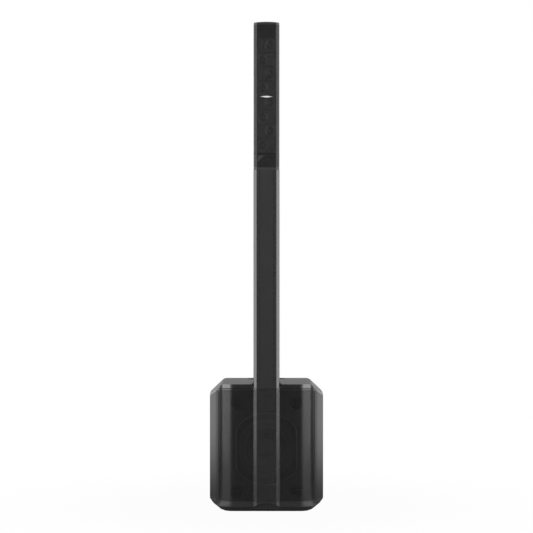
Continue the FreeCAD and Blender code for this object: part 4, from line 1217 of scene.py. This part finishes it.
@dataclass
class RearPanel:
    """The amplifier's panel with its controls, sockets, heat sink and printed marks."""

    workshop: Workshop
    knob_count: int = 3
    knob_step: float = 0.070
    knob_sweep: float = math.radians(300.0)
    ticks: int = 11
    tick_size: Plan = (0.0007, 0.0026)
    tick_gap: float = 0.0034
    line_width: float = 0.0006
    line_cut: float = 0.004
    cut_share: float = 0.6
    panel_margin: float = 0.012
    jack_margin: float = 0.006
    knob_margin: float = 0.0125
    frame_gap: float = 0.003
    inlet_margin: Plan = (0.008, 0.005)
    meters: tuple[tuple[str, float, int], ...] = (("meter_upper", 0.66, 14), ("meter_lower", 0.40, 10))
    meter_start: float = 0.08
    bar_step: float = 0.058
    bar_size: Plan = (0.04, 0.16)
    menu_words: int = 3
    menu_start: Plan = (0.2, 0.12)
    menu_step: float = 0.3
    menu_size: Plan = (0.2, 0.06)
    pointer_half: float = 0.0006
    pointer_reach: Span = (0.36, 0.86)
    pointer_faces: Span = (0.0007, 0.0002)
    softened: tuple[Softened, ...] = (
        ("amp_panel", "panel_plate", "panel", 0.0003), ("heat_sink", "heat_sink_fins", "sink", 0.0003),
        ("mains_inlet", "inlet_shell", "black", 0.0004), ("rocker_frame", "rocker_bezel", "black", 0.0004),
        ("power_rocker", "rocker_cap", "gloss", 0.0003), ("combo_jacks", "combo_shells", "black", 0.0003),
        ("line_jacks", "jack_nuts", "steel", 0.0002), ("menu_button_1", "button_back", "rubber", 0.0005),
        ("menu_button_2", "button_enter", "rubber", 0.0005),
    )

    @property
    def face(self) -> float:
        """The y of the panel's rear face, which the marks are printed on."""
        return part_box("amp_panel")[1][1]

    def make_scales(self) -> None:
        """Prints a scale round each channel's dial."""
        low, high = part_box("channel_knob_1")
        x, _, z = middle_of("channel_knob_1")
        Marks(
            self.ticks, self.knob_count, (x, self.face, z), row_step=(self.knob_step, 0.0, 0.0),
            first_turn=-self.knob_sweep / 2, turn=self.knob_sweep / (self.ticks - 1),
        ).make(
            self.workshop, "dial_marks", "marks", self.tick_size, (high[2] - low[2]) / 2 + self.tick_gap,
            "amp_panel",
        )

    def frame_line(self, shape: bmesh.types.BMesh, low: Plan, high: Plan) -> None:
        """Adds a printed rectangle with cut corners to a bmesh.

        Args:
            shape: The bmesh to add to.
            low: Its lower left corner.
            high: Its upper right corner.
        """
        rings = []
        for inset in (0.0, self.line_width):
            x0, z0, x1, z1 = low[0] + inset, low[1] + inset, high[0] - inset, high[1] - inset
            cut = self.line_cut - inset * self.cut_share
            ring = [(x0 + cut, z0), (x1 - cut, z0), (x1, z0 + cut), (x1, z1 - cut),
                    (x1 - cut, z1), (x0 + cut, z1), (x0, z1 - cut), (x0, z0 + cut)]
            for depth in (0.0, PRINT):
                rings.append([shape.verts.new((x, self.face + depth, z)) for x, z in ring])
        outer_low, outer_high, inner_low, inner_high = rings
        for a, b in ((outer_low, outer_high), (outer_high, inner_high), (inner_high, inner_low),
                     (inner_low, outer_low)):
            for i in range(len(a)):
                j = (i + 1) % len(a)
                shape.faces.new((b[i], b[j], a[j], a[i]))

    def make_frames(self) -> None:
        """Prints the frames round the menu, the channels and the mains group."""
        panel_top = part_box("amp_panel")[1]
        inlet_low, inlet_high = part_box("mains_inlet")
        side = panel_top[0] - self.panel_margin
        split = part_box("channel_knob_1")[1][2] + self.knob_margin
        inlet_side = inlet_low[0] - self.inlet_margin[0]
        shape = bmesh.new()
        self.frame_line(shape, (-side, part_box("combo_jacks")[0][2] - self.jack_margin), (side, split))
        self.frame_line(shape, (-side, split + self.frame_gap), (side, panel_top[2] - self.panel_margin))
        self.frame_line(shape, (inlet_side, inlet_low[2] - self.inlet_margin[1]),
                        (-inlet_side, inlet_high[2] + self.inlet_margin[1]))
        settle(self.workshop.from_bmesh("panel_lines", shape, "marks"), "amp_panel")

    def make_display(self) -> None:
        """Lights two level meters and a menu line, whose sizes are shares of the display."""
        low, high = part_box("display_window")
        wide, tall = high[0] - low[0], high[2] - low[2]
        menu_x, menu_z = self.menu_start
        rows = [
            (name, count, (self.meter_start, lift), self.bar_step, self.bar_size)
            for name, lift, count in self.meters
        ]
        rows.append(("menu_line", self.menu_words, (menu_x, menu_z), self.menu_step, self.menu_size))
        for name, count, (x, z), step, size in rows:
            Marks(
                count, 1, (low[0] + x * wide, high[1], low[2] + z * tall), step=(step * wide, 0.0, 0.0),
            ).make(self.workshop, name, "glow", (size[0] * wide, size[1] * tall), 0.0, "display_window")

    def make_pointers(self) -> None:
        """Fills the knobs' pointer slots with white."""
        for i in range(self.knob_count):
            node = f"channel_knob_{i + 1}"
            low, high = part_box(node)
            x, _, z = middle_of(node)
            radius = (high[2] - low[2]) / 2
            start, stop = (z + radius * share for share in self.pointer_reach)
            shape = bmesh.new()
            plate(shape, (x - self.pointer_half, start), (x + self.pointer_half, stop),
                  tuple(high[1] - depth for depth in self.pointer_faces))
            settle(self.workshop.from_bmesh(node + "_pointer", shape, "marks"), node)

    def build(self) -> None:
        """Makes every piece of the rear panel that shows."""
        self.make_scales()
        self.make_frames()
        self.make_display()
        self.make_pointers()
        self.workshop.soften_all(self.softened)


# ------------------------------------------------------------------------------ the studio
@dataclass(frozen=True)
class SoftBox:
    """A tall soft light: its turn from the front in degrees, its width and its level."""

    turn: float
    width: float
    level: float


@dataclass
class Studio:
    """A pale floor, two tall soft boxes to each side, a white surround and the camera."""

    camera_distance: float = 7.2
    camera_height: float = 0.985
    focal_frames: float = 1800.0 / 533.0
    sensor: float = 36.0
    view_limit: float = 100.0
    floor_half: float = 30.0
    floor_colour: float = 0.08
    floor_roughness: float = 0.8
    floor_specular: float = 0.2
    near_floor: float = 0.97
    beside_floor: float = 0.07
    box_distance: float = 1.9
    box_low: float = 0.02
    box_high: float = 3.0
    main_box: SoftBox = SoftBox(57.0, 2.32, 3.4)
    fill_box: SoftBox = SoftBox(24.0, 0.8, 0.55)
    front_level: float = 0.036
    upper_level: float = 0.65
    behind_sky: Span = (0.68, 0.96)
    upper_sky: Span = (-0.03, 0.6)
    floor_fade: Span = (0.3, 1.5)
    behind_fade: Span = (0.2, 3.0)
    aside_fade: Span = (0.18, 0.36)
    near_fade: Span = (1.0, 0.5)
    front_fade: Span = (0.05, -0.15)

    def make_camera(self) -> None:
        """Places the camera straight in front, a little under half way up."""
        data = bpy.data.cameras.new("camera")
        data.sensor_width = self.sensor
        data.lens = self.sensor * self.focal_frames
        data.clip_end = self.view_limit
        camera = bpy.data.objects.new("camera", data)
        camera.location = (0.0, FRONT_Y - self.camera_distance, self.camera_height)
        camera.rotation_euler = (math.radians(90.0), 0.0, 0.0)
        bpy.context.scene.collection.objects.link(camera)
        bpy.context.scene.camera = camera

    def make_box(self, name: str, plan: SoftBox, side: float) -> None:
        """Stands one soft box up, facing the object.

        Args:
            name: The lamp's name.
            plan: Its place and strength.
            side: -1 for the left side, 1 for the right.
        """
        tall = self.box_high - self.box_low
        turn = math.radians(plan.turn)
        lamp = bpy.data.lights.new(name, "AREA")
        lamp.shape = "RECTANGLE"
        lamp.size = plan.width
        lamp.size_y = tall
        lamp.energy = plan.level * math.pi * plan.width * tall
        box = bpy.data.objects.new(name, lamp)
        x, y = side * self.box_distance * math.sin(turn), -self.box_distance * math.cos(turn)
        box.location = (x, y, self.box_low + tall / 2)
        box.rotation_euler = (math.radians(90.0), 0.0, side * turn)
        box.visible_camera = False
        bpy.context.scene.collection.objects.link(box)

    def make_boxes(self) -> None:
        """Stands a tall main box and a dimmer fill box to each side of the camera."""
        for name, plan in (("main_box", self.main_box), ("fill_box", self.fill_box)):
            self.make_box(name + "_left", plan, -1.0)
            self.make_box(name + "_right", plan, 1.0)

    def seen_white(self, board: NodeBoard, behind: Socket) -> Socket:
        """Says how much of the plain white backdrop a ray sees.

        Args:
            board: The tree to add to.
            behind: 1 where the backdrop stands, 0 on the camera's side, where the studio is dark.

        Returns:
            1 for what the camera sees and for what glass passes, and the backdrop's share for gloss.
        """
        rays = board.add("ShaderNodeLightPath").outputs
        direct = board.math("MAXIMUM", rays["Is Camera Ray"], rays["Is Transmission Ray"])
        return board.math("MAXIMUM", direct, board.math("MULTIPLY", rays["Is Glossy Ray"], behind))

    def make_world(self) -> None:
        """Surrounds the object with white behind and above, and shade behind the camera."""
        world = bpy.data.worlds.new("studio")
        bpy.context.scene.world = world
        world.use_nodes = True
        world.node_tree.nodes.clear()
        board = NodeBoard(world.node_tree)
        aim = board.split(board.add("ShaderNodeTexCoord").outputs["Generated"])
        behind = board.rise(aim[1], self.behind_sky)
        above = board.rise(aim[2], self.upper_sky, self.upper_level)
        level = board.math("MAXIMUM", board.math("MAXIMUM", behind, above), self.front_level)
        soft = board.fill(board.add("ShaderNodeBackground"), {"Color": WHITE, "Strength": level})
        white = board.fill(board.add("ShaderNodeBackground"), {"Color": WHITE, "Strength": 1.0})
        seen = board.blend(self.seen_white(board, behind), soft, white)
        board.link(seen, board.add("ShaderNodeOutputWorld").inputs["Surface"])

    def mirrored_floor(self, board: NodeBoard, place: Sequence[Socket], reach: Socket) -> Socket:
        """Says where gloss sees the floor as white: behind the object, and close beside its front.

        Args:
            board: The floor's tree.
            place: The place on the floor.
            reach: Its distance from the object's middle.

        Returns:
            The share of white.
        """
        behind = board.rise(place[1], self.behind_fade)
        aside = board.rise(board.math("ABSOLUTE", place[0]), self.aside_fade, 1.0 - self.beside_floor)
        front = board.rise(place[1], self.front_fade)
        near = board.math("MULTIPLY", board.rise(reach, self.near_fade), front)
        beside = board.math("MULTIPLY", board.math("ADD", aside, self.beside_floor), near)
        return board.math("MAXIMUM", behind, beside)

    def floor_material(self) -> bpy.types.Material:
        """Makes the floor's finish.

        Returns:
            A pale material that keeps a shadow near the object and fades into the backdrop.
        """
        material = bpy.data.materials.new("floor_white")
        material.use_nodes = True
        board = NodeBoard(material.node_tree)
        shader = board.fill(material.node_tree.nodes["Principled BSDF"], {
            "Base Color": (*(self.floor_colour,) * 3, 1.0), "Roughness": self.floor_roughness,
            "Specular IOR Level": self.floor_specular,
        })
        glow = board.fill(board.add("ShaderNodeEmission"), {"Strength": 1.0})
        place = board.split(board.add("ShaderNodeTexCoord").outputs["Object"])
        squares = [board.math("MULTIPLY", place[i], place[i]) for i in (0, 1)]
        reach = board.math("SQRT", board.math("ADD", *squares))
        share = board.math("ADD", board.rise(reach, self.floor_fade, 1.0 - self.near_floor), self.near_floor)
        white = self.seen_white(board, self.mirrored_floor(board, place, reach))
        seen = board.blend(board.math("MULTIPLY", white, share), shader, glow)
        board.link(seen, material.node_tree.nodes["Material Output"].inputs["Surface"])
        return material

    def make_floor(self) -> None:
        """Lays the floor under the object."""
        shape = bmesh.new()
        half = self.floor_half
        corners = ((-half, -half), (half, -half), (half, half), (-half, half))
        shape.faces.new([shape.verts.new((x, y, 0.0)) for x, y in corners])
        floor = bpy.data.objects.new("floor", mesh_from("floor", shape))
        bpy.context.scene.collection.objects.link(floor)
        floor.data.materials.append(self.floor_material())

    def build(self) -> None:
        """Sets up the camera, the light and the floor."""
        self.make_camera()
        self.make_boxes()
        self.make_world()
        self.make_floor()
        bpy.context.scene.view_settings.view_transform = "Standard"


def dress_frame(workshop: Workshop) -> None:
    """Gives every CAD node its finish.

    Args:
        workshop: Where the finishes are made.
    """
    for node, piece in frame["nodes"].items():
        for place in piece.material_slots:
            place.material = workshop.finish(NODE_FINISH[node])
        if not piece.material_slots:
            piece.data.materials.append(workshop.finish(NODE_FINISH[node]))


def main() -> None:
    """Builds the studio and every sub-assembly, in order."""
    logging.basicConfig(level=logging.INFO, format="%(name)s: %(message)s")
    workshop = Workshop()
    Studio().build()
    dress_frame(workshop)
    for assembly in (Cabinet(workshop), Column(workshop), RearPanel(workshop)):
        assembly.build()


if __name__ == "__main__":
    main()
